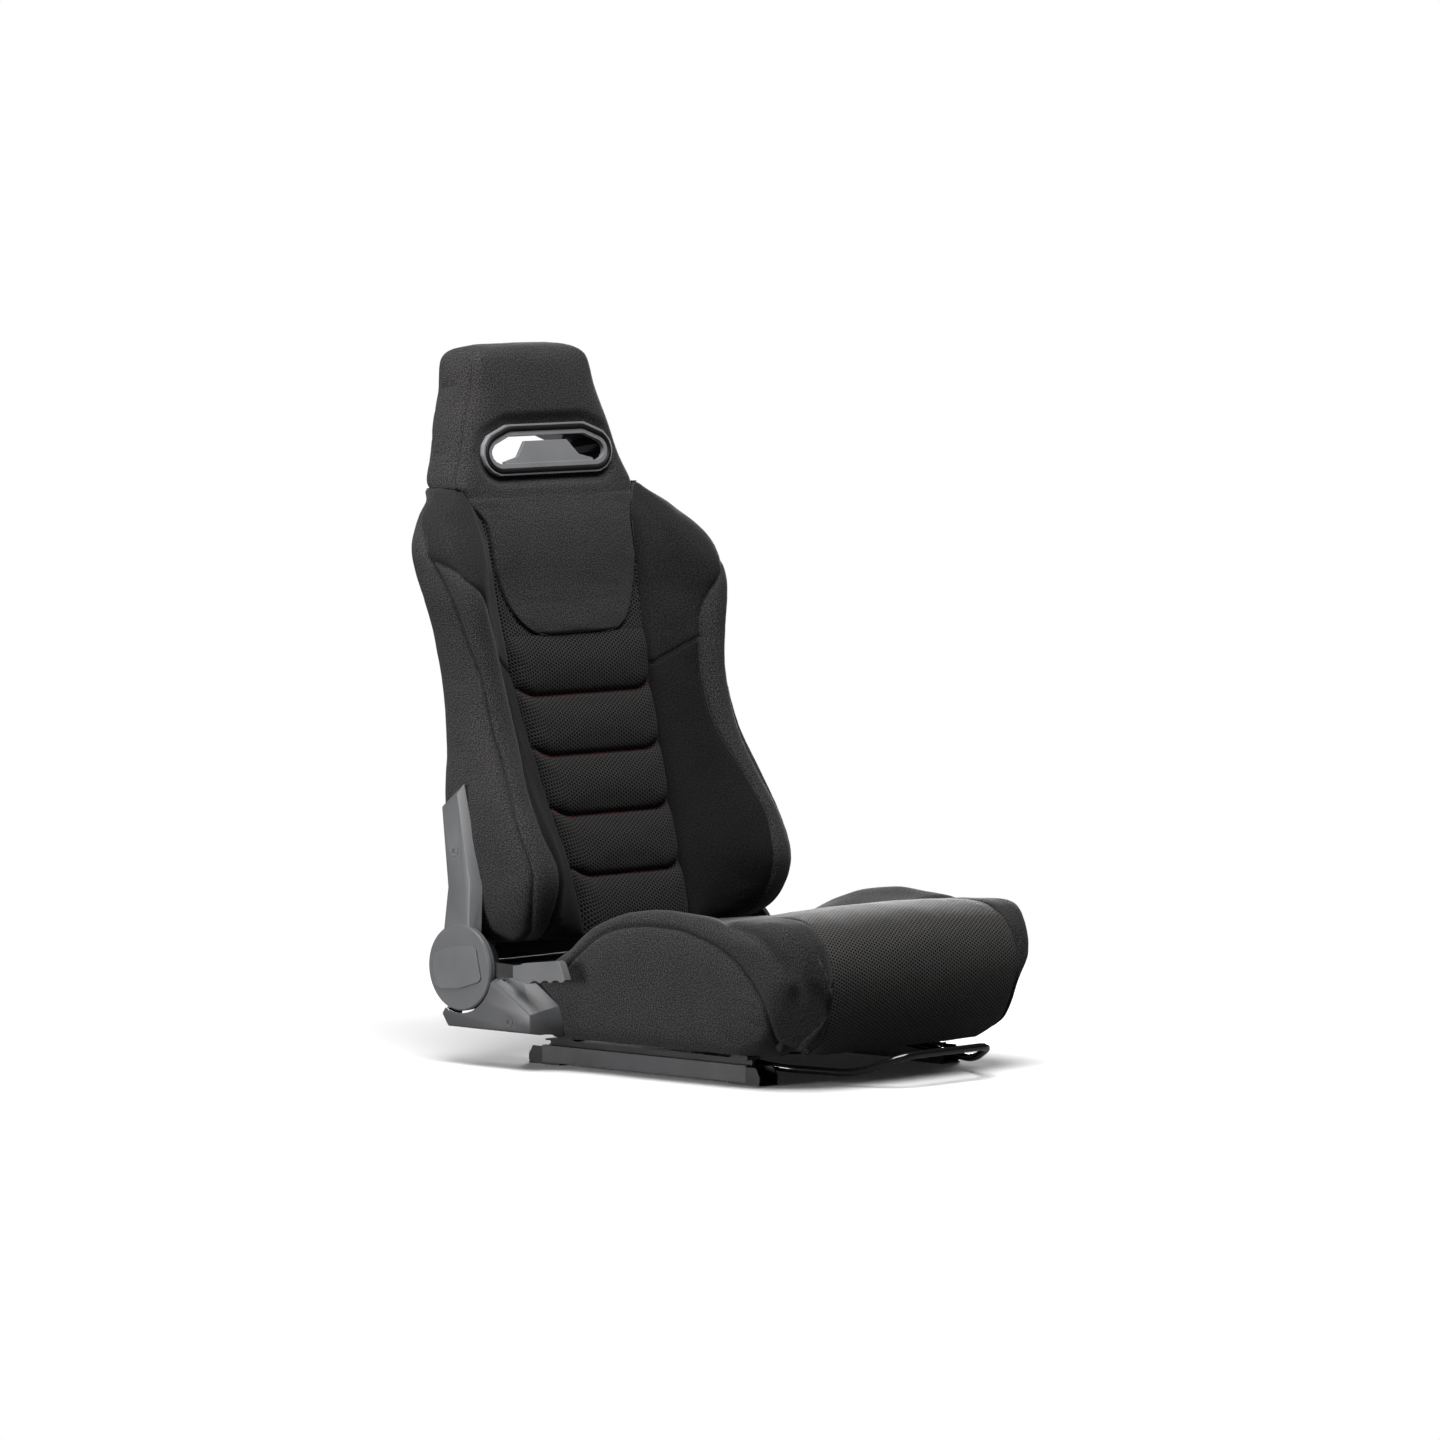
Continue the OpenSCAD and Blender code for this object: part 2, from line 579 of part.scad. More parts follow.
module tube_across(at, d, half) {
  translate([-half, at[0], at[1]]) rotate([0, 90, 0]) cylinder(d = d, h = 2 * half, $fn = 64);
}
module seat_frame() {
  color("#161617") {
    difference() {
      union() for (side = [-1, 1]) scale_x(side) {
        translate([frame_half - frame_t, 0, 0]) rotate([90, 0, 90]) linear_extrude(frame_t)
          polygon([[side_front, flange_z], [side_rear, flange_z], [side_rear, 60], [188, 60],
            [142, pan_z - 4], [side_front, pan_z - 4]]);
        translate([flange_in, side_front, flange_z])
          cube([frame_half - flange_in - 0.5, side_rear - side_front, frame_t]);
        translate([flange_in, pin_y - 10, 24]) cube([frame_t, 20, flange_z + frame_t - 24]);
      }
      for (x = [-rail_x, rail_x], y = bracket_y) translate([x, y, flange_z - 1])
        cylinder(d = bolt_d + 2 * fit, h = frame_t + 2, $fn = 48);
      for (side = [-1, 1]) scale_x(side) translate([flange_in - 3, pin_y, pin_z])
        rotate([0, 90, 0]) cylinder(d = pin_d + 2 * fit, h = frame_t + 6, $fn = 48);
    }
    tube_across(front_tube, cross_d, frame_half - frame_t / 2);
    tube_across(rear_tube, cross_d, frame_half - frame_t / 2);
  }
}
module scale_x(way) {
  mirror([way < 0 ? 1 : 0, 0, 0]) children();
}
// Zigzag springs from the front tube to the rear tube
spring_z = pan_z - soft_gap - seat_wire / 2;
spring_half = 24;
spring_bends = 12;
spring_sides = 6;
function spring_path(x) =
  let (y0 = front_tube[0], y1 = rear_tube[0], pitch = (y1 - y0) / spring_bends)
  [for (i = [0:spring_bends * 4]) let (u = i / 4, y = y0 + pitch * u)
    [x + spring_half * sin(180 * u + 0.01), y + pitch * 0.3 * sin(360 * u), spring_z]];
module wire(path, d) {
  n = len(path);
  rings = [for (i = [0:n - 1])
    let (a = path[max(i - 1, 0)], b = path[min(i + 1, n - 1)], t = (b - a) / norm(b - a),
         side = cross(t, [0, 0, 1]), up = [0, 0, 1])
    [for (k = [0:spring_sides - 1]) let (q = 360 * k / spring_sides)
      path[i] + d / 2 * (side * cos(q) + up * sin(q))]];
  walls = [for (i = [0:n - 2]) for (k = [0:spring_sides - 1])
    let (a = i * spring_sides + k, b = i * spring_sides + (k + 1) % spring_sides)
    each [[a, b, a + spring_sides], [b, b + spring_sides, a + spring_sides]]];
  last = (n - 1) * spring_sides;
  ends = [for (k = [1:spring_sides - 2]) each [[0, k + 1, k], [last, last + k, last + k + 1]]];
  polyhedron([for (r = rings) each r], concat(walls, ends), convexity = 6);
}
module seat_spring_wires() {
  gap = 2 * (middle_half - 30) / (seat_springs - 1);
  color("#2a2a2c") for (i = [0:seat_springs - 1])
    wire(spring_path((i - (seat_springs - 1) / 2) * gap * 0.92), seat_wire);
}

// ---- recliner -----------------------------------------------------------
plate_x = 235;
plate_t = 5;
base_x = plate_x + plate_t;
base_t = 10;
rotor_x = base_x + base_t + side_gap;
arm_x = hip_half + side_gap;
rotor_t = arm_x - rotor_x;
axle_bore = shaft_d + 2 * fit;
lever_x = arm_x + arm_t + side_gap + 0.2;
lever_t = 2.5;
sweep_r = 60;
// Screws that hold the side covers: place along the seat and height
arm_screw = [pivot_y + 14.5, 281];
base_screw = [pivot_y - 90, 63.5];
screw_d = 5;
head_d = 15;
head_t = 2;
head_gap = 0.2;
arm_seat_x = 270.6;
base_seat_x = cover_half - head_t + 0.4;
module across(at, x) {
  translate([x, at[0], at[1]]) rotate([0, 90, 0]) children();
}
module at_pivot(x) {
  translate([x, pivot_y, pivot_z]) rotate([0, 90, 0]) children();
}
// A plate in the plane of the seat's side: points are [y, z]
module side_plate(x, t, points) {
  translate([x, 0, 0]) rotate([90, 0, 90]) linear_extrude(t) polygon(points);
}
module recliner_bracket() {
  foot_z = flange_z + frame_t;
  difference() {
    union() {
      at_pivot(plate_x) cylinder(r = recliner_r - 8, h = plate_t, $fn = 96);
      side_plate(plate_x, plate_t, [[pivot_y - 111, foot_z], [pivot_y - 111, foot_z + 20],
        [pivot_y - 36, pivot_z - 8], [pivot_y, pivot_z], [pivot_y + 9, pivot_z - 39],
        [pivot_y + 9, foot_z]]);
      translate([frame_half, pivot_y - 111, foot_z]) cube([plate_x - frame_half + 1, 120, 3]);
      translate([frame_half, pivot_y - 111, foot_z]) cube([3, 120, 14]);
    }
    at_pivot(plate_x - 1) cylinder(d = axle_bore, h = plate_t + 2, $fn = 64);
    across(base_screw, plate_x - 1) cylinder(d = screw_d, h = plate_t + 2, $fn = 32);
  }
}
module recliner_bracket_left() {
  color("#141415") recliner_bracket();
}
module recliner_bracket_right() {
  color("#141415") other_side() recliner_bracket();
}
module recliner_base() {
  difference() {
    union() {
      at_pivot(base_x) cylinder(r = recliner_r - 3, h = base_t, $fn = 96);
      at_pivot(base_x + base_t - 6) cylinder(r = recliner_r, h = 6, $fn = 96);
    }
    at_pivot(base_x - 1) cylinder(d = axle_bore, h = base_t + 2, $fn = 64);
  }
}
module recliner_base_left() {
  color("#232324") recliner_base();
}
module recliner_base_right() {
  color("#232324") other_side() recliner_base();
}
module recliner_rotor() {
  difference() {
    at_pivot(rotor_x) cylinder(r = recliner_r, h = rotor_t, $fn = 96);
    at_pivot(rotor_x - 1) cylinder(d = axle_bore, h = rotor_t + 2, $fn = 64);
  }
}
module recliner_rotor_left() {
  color("#2e2e30") recliner_rotor();
}
module recliner_rotor_right() {
  color("#2e2e30") other_side() recliner_rotor();
}
cross_y = pivot_y + recliner_r + 2;
cross_t = 4;
arm_top = 346;
module arm_plate() {
  difference() {
    union() {
      at_pivot(arm_x) cylinder(r = disc_r - 8, h = arm_t, $fn = 96);
      side_plate(arm_x, arm_t, [[pivot_y - 22, pivot_z + 30], [pivot_y - 14, 240],
        [pivot_y + 16, arm_top], [pivot_y + 36, arm_top - 14], [pivot_y + 23, 232],
        [pivot_y + 26, pivot_z + 30]]);
      side_plate(arm_x, arm_t, [[pivot_y + 20, pivot_z - 9], [cross_y + cross_t, pivot_z - 9],
        [cross_y + cross_t, pivot_z + 30], [pivot_y + 20, pivot_z + 36]]);
    }
    at_pivot(arm_x - 1) cylinder(d = axle_bore, h = arm_t + 2, $fn = 64);
    across(arm_screw, arm_x - 1) cylinder(d = screw_d, h = arm_t + 2, $fn = 32);
  }
}
module arm_plate_left() {
  color("#101011") arm_plate();
}
module arm_plate_right() {
  color("#101011") other_side() arm_plate();
}
module recline_shaft() {
  color("#8f9092") at_pivot(-lever_x - lever_t) cylinder(d = shaft_d, h = 2 * lever_x, $fn = 64);
}
module recline_lever() {
  color("#1b1b1c") other_side() difference() {
    union() {
      at_pivot(lever_x) cylinder(r = 15, h = lever_t, $fn = 64);
      side_plate(lever_x, lever_t, [[pivot_y + 2, pivot_z - 12], [pivot_y + 2, pivot_z + 12],
        [pivot_y - 96, pivot_z + 8.5], [pivot_y - 130, pivot_z + 8.5],
        [pivot_y - 130, pivot_z - 5.5], [pivot_y - 96, pivot_z - 8]]);
    }
    at_pivot(lever_x - 1) cylinder(d = shaft_d, h = lever_t + 2, $fn = 64);
  }
}
grip_root = pivot_y - 97;
module lever_grip() {
  x = cover_half - 1 - grip_w;
  low = pivot_z - 10;
  color("#9c9d9f") other_side() difference() {
    side_plate(x, grip_w, [
      [grip_root, low + 3], [grip_root, pivot_z + 9], [grip_root - 12, pivot_z + 10],
      [grip_root - 17, pivot_z + 13], [grip_root - grip_len, pivot_z + 20.5],
      [grip_root - grip_len - 5, pivot_z + 17], [grip_root - grip_len - 14, pivot_z - 4],
      [grip_root - grip_len - 10, pivot_z - 7], [grip_root - 25, low - 3], [grip_root - 17, low - 1]]);
    for (i = [0:2]) translate([x - 1, grip_root - 40 - 19 * i, low - 9.5 + 1.6 * i])
      rotate([0, 90, 0]) cylinder(r = 11, h = grip_w + 2, $fn = 48);
    side_plate(lever_x - 0.02, lever_t + 0.04, [
      [grip_root + 1, pivot_z - 20], [grip_root + 1, pivot_z + 8.6],
      [grip_root - 33.1, pivot_z + 8.6], [grip_root - 33.1, pivot_z - 5.6],
      [grip_root + 1, pivot_z - 8.2]]);
  }
}

// ---- side covers --------------------------------------------------------
// A moulded piece between an outline at the seat and a smaller one at its face
module moulded(x0, outline0, face_points, r) {
  hull() {
    translate([x0, 0, 0]) rotate([90, 0, 90]) linear_extrude(1) polygon(outline0);
    for (p = face_points) translate([p[0] - r, p[1], p[2]]) sphere(r = r, $fn = 12);
  }
}
cover_low = skirt_z + 5;
module lower_cover_form(x0, cut) {
  r = 3;
  top = pivot_z + 1;
  f = cover_half - cut;
  m = cut;
  moulded(x0, [
      [pivot_y + 33 - m, cover_low + 15], [pivot_y + 24 - m, cover_low + 3 + m],
      [pivot_y - 154 + m, cover_low + m], [pivot_y - 153 + m, cover_low + 22],
      [pivot_y - 147 + m, cover_low + 38 - m], [pivot_y - 115, top - 23 - m],
      [pivot_y - 79, top - m], [pivot_y - 57, top - m], [pivot_y + 22 - m, pivot_z - 40]],
    [[f, pivot_y + 29 - m, cover_low + 18], [f, pivot_y + 20 - m, cover_low + 5 + m],
     [f, pivot_y - 127 + m, cover_low + 5 + m], [f, pivot_y - 127 + m, cover_low + 26 - m],
     [f, pivot_y - 66, top - 18 - m], [f, pivot_y - 56, top - 18 - m],
     [f, pivot_y + 18 - m, pivot_z - 46]], r);
}
module lower_cover(slot) {
  difference() {
    lower_cover_form(base_x + 1.5, 0);
    difference() {
      lower_cover_form(base_x, cover_t);
      across(base_screw, base_x + head_gap) cylinder(d = head_d + 3, h = 60, $fn = 48);
    }
    across(base_screw, base_x) cylinder(d = screw_d + head_gap, h = 60, $fn = 48);
    across(base_screw, base_seat_x) cylinder(d = head_d + 2 * head_gap, h = 20, $fn = 64);
    at_pivot(base_x - 2) cylinder(r = sweep_r, h = 60, $fn = 96);
    if (slot) side_plate(lever_x - 0.6, lever_t + 1.2, [[pivot_y - 40, pivot_z - 14],
      [pivot_y - 40, pivot_z + 20], [pivot_y - 112, pivot_z + 20], [pivot_y - 112, pivot_z - 14]]);
  }
}
module lower_cover_left() {
  color("#6b6c6e") lower_cover(false);
}
module lower_cover_right() {
  color("#6b6c6e") other_side() lower_cover(true);
}
module arm_cover_form(cut) {
  r = 3;
  x0 = arm_x + 0.4;
  f = cover_half - cut;
  moulded(x0, [[pivot_y - 29 + cut, 236], [pivot_y + 4 + cut, 369 - cut],
      [pivot_y + 42 - cut, 338 - cut], [pivot_y + 27 - cut, 232]],
    [[f - 4, pivot_y - 15 + cut, 239], [f - 9, pivot_y + 12 + cut, 355 - cut],
     [f - 9, pivot_y + 38 - cut, 336 - cut], [f - 4, pivot_y + 22 - cut, 233]], r);
  moulded(x0, [[pivot_y - 29 + cut, 236], [pivot_y + 27 - cut, 232],
      [pivot_y + 33 - cut, pivot_z + 28], [pivot_y - 26 + cut, pivot_z + 28]],
    [[f - 4, pivot_y - 15 + cut, 239], [f - 4, pivot_y + 22 - cut, 233],
     [f - 1, pivot_y + 29 - cut, pivot_z + 34], [f - 1, pivot_y - 15 + cut, pivot_z + 34]], r);
}
badge_t = 2;
skirt_x = lever_x + lever_t + 0.6;
module arm_cover() {
  difference() {
    union() {
      arm_cover_form(0);
      at_pivot(skirt_x) cylinder(r = disc_r, h = cover_half - 2 - skirt_x, $fn = 128);
      at_pivot(cover_half - 2) cylinder(r1 = disc_r, r2 = disc_r - 2, h = 2, $fn = 128);
    }
    difference() {
      arm_cover_form(cover_t);
      across(arm_screw, arm_x + arm_t + head_gap) cylinder(d = head_d + 3, h = 60, $fn = 48);
    }
    across(arm_screw, arm_x) cylinder(d = screw_d + head_gap, h = 60, $fn = 48);
    across(arm_screw, arm_seat_x) cylinder(d = head_d + 2 * head_gap, h = 20, $fn = 64);
    at_pivot(arm_x - 1) cylinder(r = disc_r - cover_t, h = cover_half - cover_t - arm_x + 1, $fn = 128);
  }
}
module arm_cover_left() {
  color("#707173") arm_cover();
}
module arm_cover_right() {
  color("#707173") other_side() arm_cover();
}
// A screw with a flat round head and a cross slot
module cover_screw(at, root_x, seat_x) {
  difference() {
    union() {
      across(at, root_x) cylinder(d = screw_d, h = seat_x - root_x + 1, $fn = 32);
      across(at, seat_x) cylinder(d = head_d, h = head_t, $fn = 64);
    }
    for (turn = [0, 90]) across(at, seat_x + head_t - 0.8) rotate([0, 0, 45 + turn])
      translate([-3.5, -0.7, 0]) cube([7, 1.4, 2]);
  }
}
module arm_screws() {
  color("#5d5e60") for (side = [-1, 1]) scale_x(side) cover_screw(arm_screw, arm_x, arm_seat_x);
}
module base_screws() {
  color("#5d5e60") for (side = [-1, 1]) scale_x(side) cover_screw(base_screw, plate_x, base_seat_x);
}
module badge_plate() {
  at_pivot(cover_half) rotate([0, 0, 90]) linear_extrude(badge_t)
    polygon([[45, 16], [12, 27], [-26, 30], [-32, 26], [-41, -12], [-37, -17], [0, -28], [32, -30],
      [41, -26], [46, -6]]);
}
module badge_plate_left() {
  color("#77787a") badge_plate();
}
module badge_plate_right() {
  color("#77787a") other_side() badge_plate();
}

// ---- adjuster bar -------------------------------------------------------
bar_z = 17.5;
bar_cross_z = 42;
eye_x = flange_in - side_gap;
eye_w = bar_d;
leg_x = eye_x - eye_w / 2;
bar_path = [
  [leg_x, pin_y, pin_z], [leg_x, -200, 20.5], [115, -300, bar_z],
  [83, 1 - bar_reach, bar_cross_z]
];
module rod(a, b, d) {
  v = b - a;
  translate(a) rotate([0, acos(v[2] / norm(v)), atan2(v[1], v[0])])
    cylinder(d = d, h = norm(v), $fn = 48);
}
// A bent tube: rods joined by elbows that are a little fuller
elbow = 1.06;
module bent_tube(path, d) {
  for (i = [0:len(path) - 2]) rod(path[i], path[i + 1], d);
  for (i = [1:len(path) - 2]) translate(path[i]) sphere(d = d * elbow, $fn = 48);
}
module adjuster_bar() {
  half = concat(bar_path, [[-1, 1 - bar_reach, bar_cross_z]]);
  color("#0e0e0f") difference() {
    union() {
      for (side = [-1, 1]) scale_x(side) bent_tube(half, bar_d);
      for (side = [-1, 1]) translate([side * leg_x - eye_w / 2, pin_y, pin_z]) rotate([0, 90, 0])
        cylinder(d = pin_d + 8, h = eye_w, $fn = 64);
    }
    for (side = [-1, 1]) translate([side * leg_x - eye_w / 2 - 1, pin_y, pin_z]) rotate([0, 90, 0])
      cylinder(d = pin_d + 2 * fit, h = eye_w + 2, $fn = 64);
  }
}
module bar_pins() {
  color("#9a9b9d") for (side = [-1, 1]) scale_x(side) {
    translate([leg_x - eye_w / 2 - 1, pin_y, pin_z]) rotate([0, 90, 0])
      cylinder(d = pin_d, h = eye_w + 2 * side_gap + frame_t + 1, $fn = 48);
    translate([leg_x - eye_w / 2 - 3, pin_y, pin_z]) rotate([0, 90, 0])
      cylinder(d = pin_d + 4, h = 2, $fn = 48);
  }
}

// ---- backrest frame -----------------------------------------------------
hoop_y = cross_y - hoop_d / 2 + 1;
hoop_path = [
  [190, hoop_y, pivot_z + 10], [190, hoop_y + 1, 206], [186, 301, 330], [165, 340, 555],
  [150, 377, 690], [118, 385, 714]
];
module back_frame() {
  whole = concat(hoop_path, reversed([for (p = hoop_path) [-p[0], p[1], p[2]]]));
  color("#131314") {
    bent_tube(whole, hoop_d);
    translate([-arm_x, cross_y, pivot_z - 9]) cube([2 * arm_x, cross_t, 38]);
  }
}
// Place of the frame tube at height z: half width and distance back
function leg_at(z) = let (k = [for (p = hoop_path) [p[2], p[0], p[1]]])
  let (i = key_index(k, z), t = (z - k[i][0]) / (k[i + 1][0] - k[i][0]))
  [lerp(k[i][1], k[i + 1][1], t), lerp(k[i][2], k[i + 1][2], t)];
wire_heights = [230, 300, 370, 440, 510, 580, 650];
wire_lap = 1;
module back_wires() {
  low = wire_heights[0];
  high = wire_heights[len(wire_heights) - 1];
  bends = [for (p = hoop_path) if (p[2] > low && p[2] < high) p[2]];
  color("#3a3a3c") {
    for (z = wire_heights) let (at = leg_at(z)) translate([-at[0] + hoop_d / 2, at[1], z])
      rotate([0, 90, 0]) cylinder(d = back_wire, h = 2 * at[0] - hoop_d, $fn = 32);
    for (x = [-80, 80]) bent_tube([for (z = concat([low], bends, [high]))
      [x, leg_at(z)[1] - back_wire + wire_lap, z]], back_wire);
  }
}
lower_rail_right();
lower_rail_left();
floor_feet();
slide_balls();
upper_rail_right();
upper_rail_left();
rail_brackets();
rail_bolts();
seat_frame();
seat_spring_wires();
recliner_bracket_right();
recliner_bracket_left();
recliner_base_right();
recliner_base_left();
lower_cover_right();
lower_cover_left();
seat_cushion();
thigh_bolster_right();
thigh_bolster_left();
adjuster_bar();
bar_pins();
recline_shaft();
recline_lever();
lever_grip();
recliner_rotor_right();
recliner_rotor_left();
arm_plate_right();
arm_plate_left();
arm_cover_right();
arm_cover_left();
badge_plate_right();
badge_plate_left();
arm_screws();
base_screws();
back_frame();
back_wires();
back_core();
back_pad();
back_bolster_right();
back_bolster_left();
rear_cover();
slot_sleeve();
slot_ring_front();
slot_ring_rear();
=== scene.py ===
# %% [markdown]
# # A reclining racing seat, piece by piece
# The seat is a moving machine with soft clothes on. Its frame, rails, recliners and covers come as a
# imported model whose places are fixed; this lesson dresses them. Every padded piece is a new mesh that
# takes the room of its plain solid; the covers, rails, feet, grip, slot ring and seat frame get rounded
# edges, and the hard pieces get finishes of their own.
# Loading the frame first means that each new piece can be laid straight on to what carries it. The
# seat faces -Y, +X is its sitter's left, and the floor is at z = 0. Sizes are in millimetres where a
# shape is drawn, and MM turns them into Blender's metres.

import json
import math

import bmesh
import bpy
import numpy as np
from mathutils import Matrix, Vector

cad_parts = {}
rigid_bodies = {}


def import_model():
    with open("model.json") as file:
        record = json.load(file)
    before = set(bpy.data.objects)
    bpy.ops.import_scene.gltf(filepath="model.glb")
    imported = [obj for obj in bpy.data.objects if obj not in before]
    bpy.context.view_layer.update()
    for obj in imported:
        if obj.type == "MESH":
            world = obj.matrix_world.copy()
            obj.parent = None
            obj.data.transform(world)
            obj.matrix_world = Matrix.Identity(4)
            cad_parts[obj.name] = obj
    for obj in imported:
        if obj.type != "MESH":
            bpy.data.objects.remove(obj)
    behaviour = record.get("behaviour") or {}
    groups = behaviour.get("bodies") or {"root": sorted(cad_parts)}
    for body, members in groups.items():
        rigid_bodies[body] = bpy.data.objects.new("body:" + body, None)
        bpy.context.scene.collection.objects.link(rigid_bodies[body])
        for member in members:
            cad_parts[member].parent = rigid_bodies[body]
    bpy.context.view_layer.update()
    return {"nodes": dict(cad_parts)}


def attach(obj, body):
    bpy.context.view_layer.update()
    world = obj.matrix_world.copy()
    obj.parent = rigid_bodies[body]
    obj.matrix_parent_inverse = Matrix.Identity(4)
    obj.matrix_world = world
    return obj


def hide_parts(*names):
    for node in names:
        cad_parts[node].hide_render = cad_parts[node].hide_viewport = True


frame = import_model()

# %% [markdown]
# # Camera, floor and light
# A seat in a shop catalogue stands on white paper that runs up behind it. A large pale floor under a
# white world gives the same: the floor keeps the soft shadow, and what the camera sees past it is
# white. The lens is long, so the two rails stay nearly parallel, as they do from across a studio.

# %% Camera
TURN, LIFT, AWAY = math.radians(-47.2), math.radians(4.26), 12.0
AIM = Vector((0.0, 0.0438, 0.4495))
FOCAL_LENGTH, SENSOR = 228.0, 36.0
back = Vector((math.sin(TURN) * math.cos(LIFT), -math.cos(TURN) * math.cos(LIFT), math.sin(LIFT)))
lens = bpy.data.cameras.new("camera")
lens.lens, lens.sensor_width = FOCAL_LENGTH, SENSOR
lens.clip_start, lens.clip_end = 1.0, 60.0
camera = bpy.data.objects.new("camera", lens)
bpy.context.collection.objects.link(camera)
camera.location = AIM + back * AWAY
camera.rotation_mode = "QUATERNION"
camera.rotation_quaternion = (-back).to_track_quat("-Z", "Y")
bpy.context.scene.camera = camera
print("camera", round(math.degrees(TURN), 1), "degrees round,", round(math.degrees(LIFT), 2), "up")


# %% [markdown]
# # Helpers for finishes
# A finish is a small network: a place on the piece goes in, passes a few sums and noises, and comes out
# as colour, roughness and bumps. Four helpers write such a network line by line, so that each finish
# below reads like a recipe and its numbers stand beside what they change.

# %% Small helpers for material nodes
def new_material(name):
    """An empty material, its node tree and its output node."""
    material = bpy.data.materials.new(name)
    material.use_nodes = True
    tree = material.node_tree
    tree.nodes.clear()
    out = tree.nodes.new("ShaderNodeOutputMaterial")
    return material, tree, out


def node(tree, kind, inputs=None, **settings):
    """Adds a node, sets its settings, and links or sets its inputs by name or number."""
    added = tree.nodes.new(kind)
    for key, value in settings.items():
        setattr(added, key, value)
    for key, value in (inputs or {}).items():
        if isinstance(value, bpy.types.NodeSocket):
            tree.links.new(value, added.inputs[key])
        else:
            added.inputs[key].default_value = value
    return added


def math_node(tree, operation, a, b=0.0, c=0.0):
    """Adds a sum of up to three values or sockets and returns its result."""
    return node(tree, "ShaderNodeMath", {0: a, 1: b, 2: c}, operation=operation).outputs[0]


def mix_colour(tree, share, a, b):
    """Colour a where the share is 0, colour b where it is 1."""
    mixer = node(tree, "ShaderNodeMix", data_type="RGBA")
    for key, value in (("Factor", share), ("A", a), ("B", b)):
        socket = next(s for s in mixer.inputs
                      if s.name == key and s.enabled and (key == "Factor" or s.type == "RGBA"))
        if isinstance(value, bpy.types.NodeSocket):
            tree.links.new(value, socket)
        else:
            socket.default_value = value
    return next(s for s in mixer.outputs if s.type == "RGBA")


print("node helpers:", new_material.__name__, node.__name__, math_node.__name__, mix_colour.__name__)


# %% Floor
PAPER, FLOOR_GLOW, FLOOR_BOUNCE = 0.86, 0.012, 0.14
SHADOW_END, WHITE_FROM, FLOOR_SIZE = 0.75, 1.7, 30.0


def pale_floor():
    """Pale paper that keeps the shadow near the seat and runs out into plain white."""
    paper_floor, tree, out = new_material("paper")
    seen = node(tree, "ShaderNodeLightPath")
    shown = seen.outputs["Is Camera Ray"]
    place = node(tree, "ShaderNodeTexCoord")
    away = node(tree, "ShaderNodeVectorMath", {0: place.outputs["Object"]}, operation="LENGTH")
    far = node(tree, "ShaderNodeMapRange", {
        "Value": away.outputs["Value"], "From Min": SHADOW_END, "From Max": WHITE_FROM},
        interpolation_type="SMOOTHSTEP")
    tone = mix_colour(tree, shown, (FLOOR_BOUNCE,) * 3 + (1,), (PAPER,) * 3 + (1,))
    paper = node(tree, "ShaderNodeBsdfDiffuse", {"Color": tone})
    glow = node(tree, "ShaderNodeEmission", {"Color": (1, 1, 1, 1), "Strength": math_node(
        tree, "MULTIPLY", shown, FLOOR_GLOW)})
    near = node(tree, "ShaderNodeAddShader", {0: paper.outputs[0], 1: glow.outputs[0]})
    white = node(tree, "ShaderNodeEmission", {"Color": (1, 1, 1, 1), "Strength": 1.0})
    both = node(tree, "ShaderNodeMixShader", {
        0: math_node(tree, "MULTIPLY", far.outputs[0], shown), 1: near.outputs[0], 2: white.outputs[0]})
    tree.links.new(both.outputs[0], out.inputs["Surface"])
    return paper_floor


bpy.ops.object.select_all(action="DESELECT")
bpy.ops.mesh.primitive_plane_add(size=FLOOR_SIZE, location=(0, 0, 0))
floor = bpy.context.object
floor.name = "floor"
floor.data.materials.append(pale_floor())
print("floor:", FLOOR_SIZE, "m wide, white from", WHITE_FROM, "m out")


# %% White world
SKY_FILL = 0.035


def white_world():
    """White where the camera sees past the floor, and a weak even light everywhere else."""
    world = bpy.data.worlds.new("studio")
    world.use_nodes = True
    tree = world.node_tree
    tree.nodes.clear()
    seen = node(tree, "ShaderNodeLightPath")
    shown = math_node(tree, "MAXIMUM", seen.outputs["Is Camera Ray"], seen.outputs["Is Transmission Ray"])
    fill = math_node(tree, "MULTIPLY_ADD", shown, 1.0 - SKY_FILL, SKY_FILL)
    sky = node(tree, "ShaderNodeBackground", {"Color": (1, 1, 1, 1), "Strength": fill})
    node(tree, "ShaderNodeOutputWorld", {"Surface": sky.outputs[0]})
    return world


bpy.context.scene.world = white_world()
bpy.context.scene.view_settings.view_transform = "Standard"
print("world:", bpy.context.scene.world.name)

# %% [markdown]
# # Three soft lamps
# Black cloth shows its shape by faint differences of light. A broad lamp overhead gives the seat its
# tops and its shadow, a low one from the side opens the near flank, and one behind draws the far edge.
# Soft boxes do that on a set, and rectangular area lamps are the same thing here.

# %% Lamps
def soft_lamp(name, place, aim, size, watts):
    """A rectangular lamp at a place, turned towards its aim."""
    data = bpy.data.lights.new(name, "AREA")
    data.shape, data.size, data.size_y, data.energy = "RECTANGLE", size[0], size[1], watts
    lamp = bpy.data.objects.new(name, data)
    bpy.context.collection.objects.link(lamp)
    lamp.location = place
    lamp.rotation_mode = "QUATERNION"
    lamp.rotation_quaternion = (Vector(aim) - Vector(place)).to_track_quat("-Z", "Y")


soft_lamp("key", (-0.75, -0.65, 3.3), (0, 0.05, 0.45), (2.3, 2.3), 170)
soft_lamp("side", (-3.0, 0.9, 0.45), (0, 0.05, 0.35), (1.2, 0.9), 66)
soft_lamp("rim", (2.4, 1.6, 1.0), (0, 0.1, 0.5), (0.9, 1.6), 110)
print("lamps:", len(bpy.data.lights))
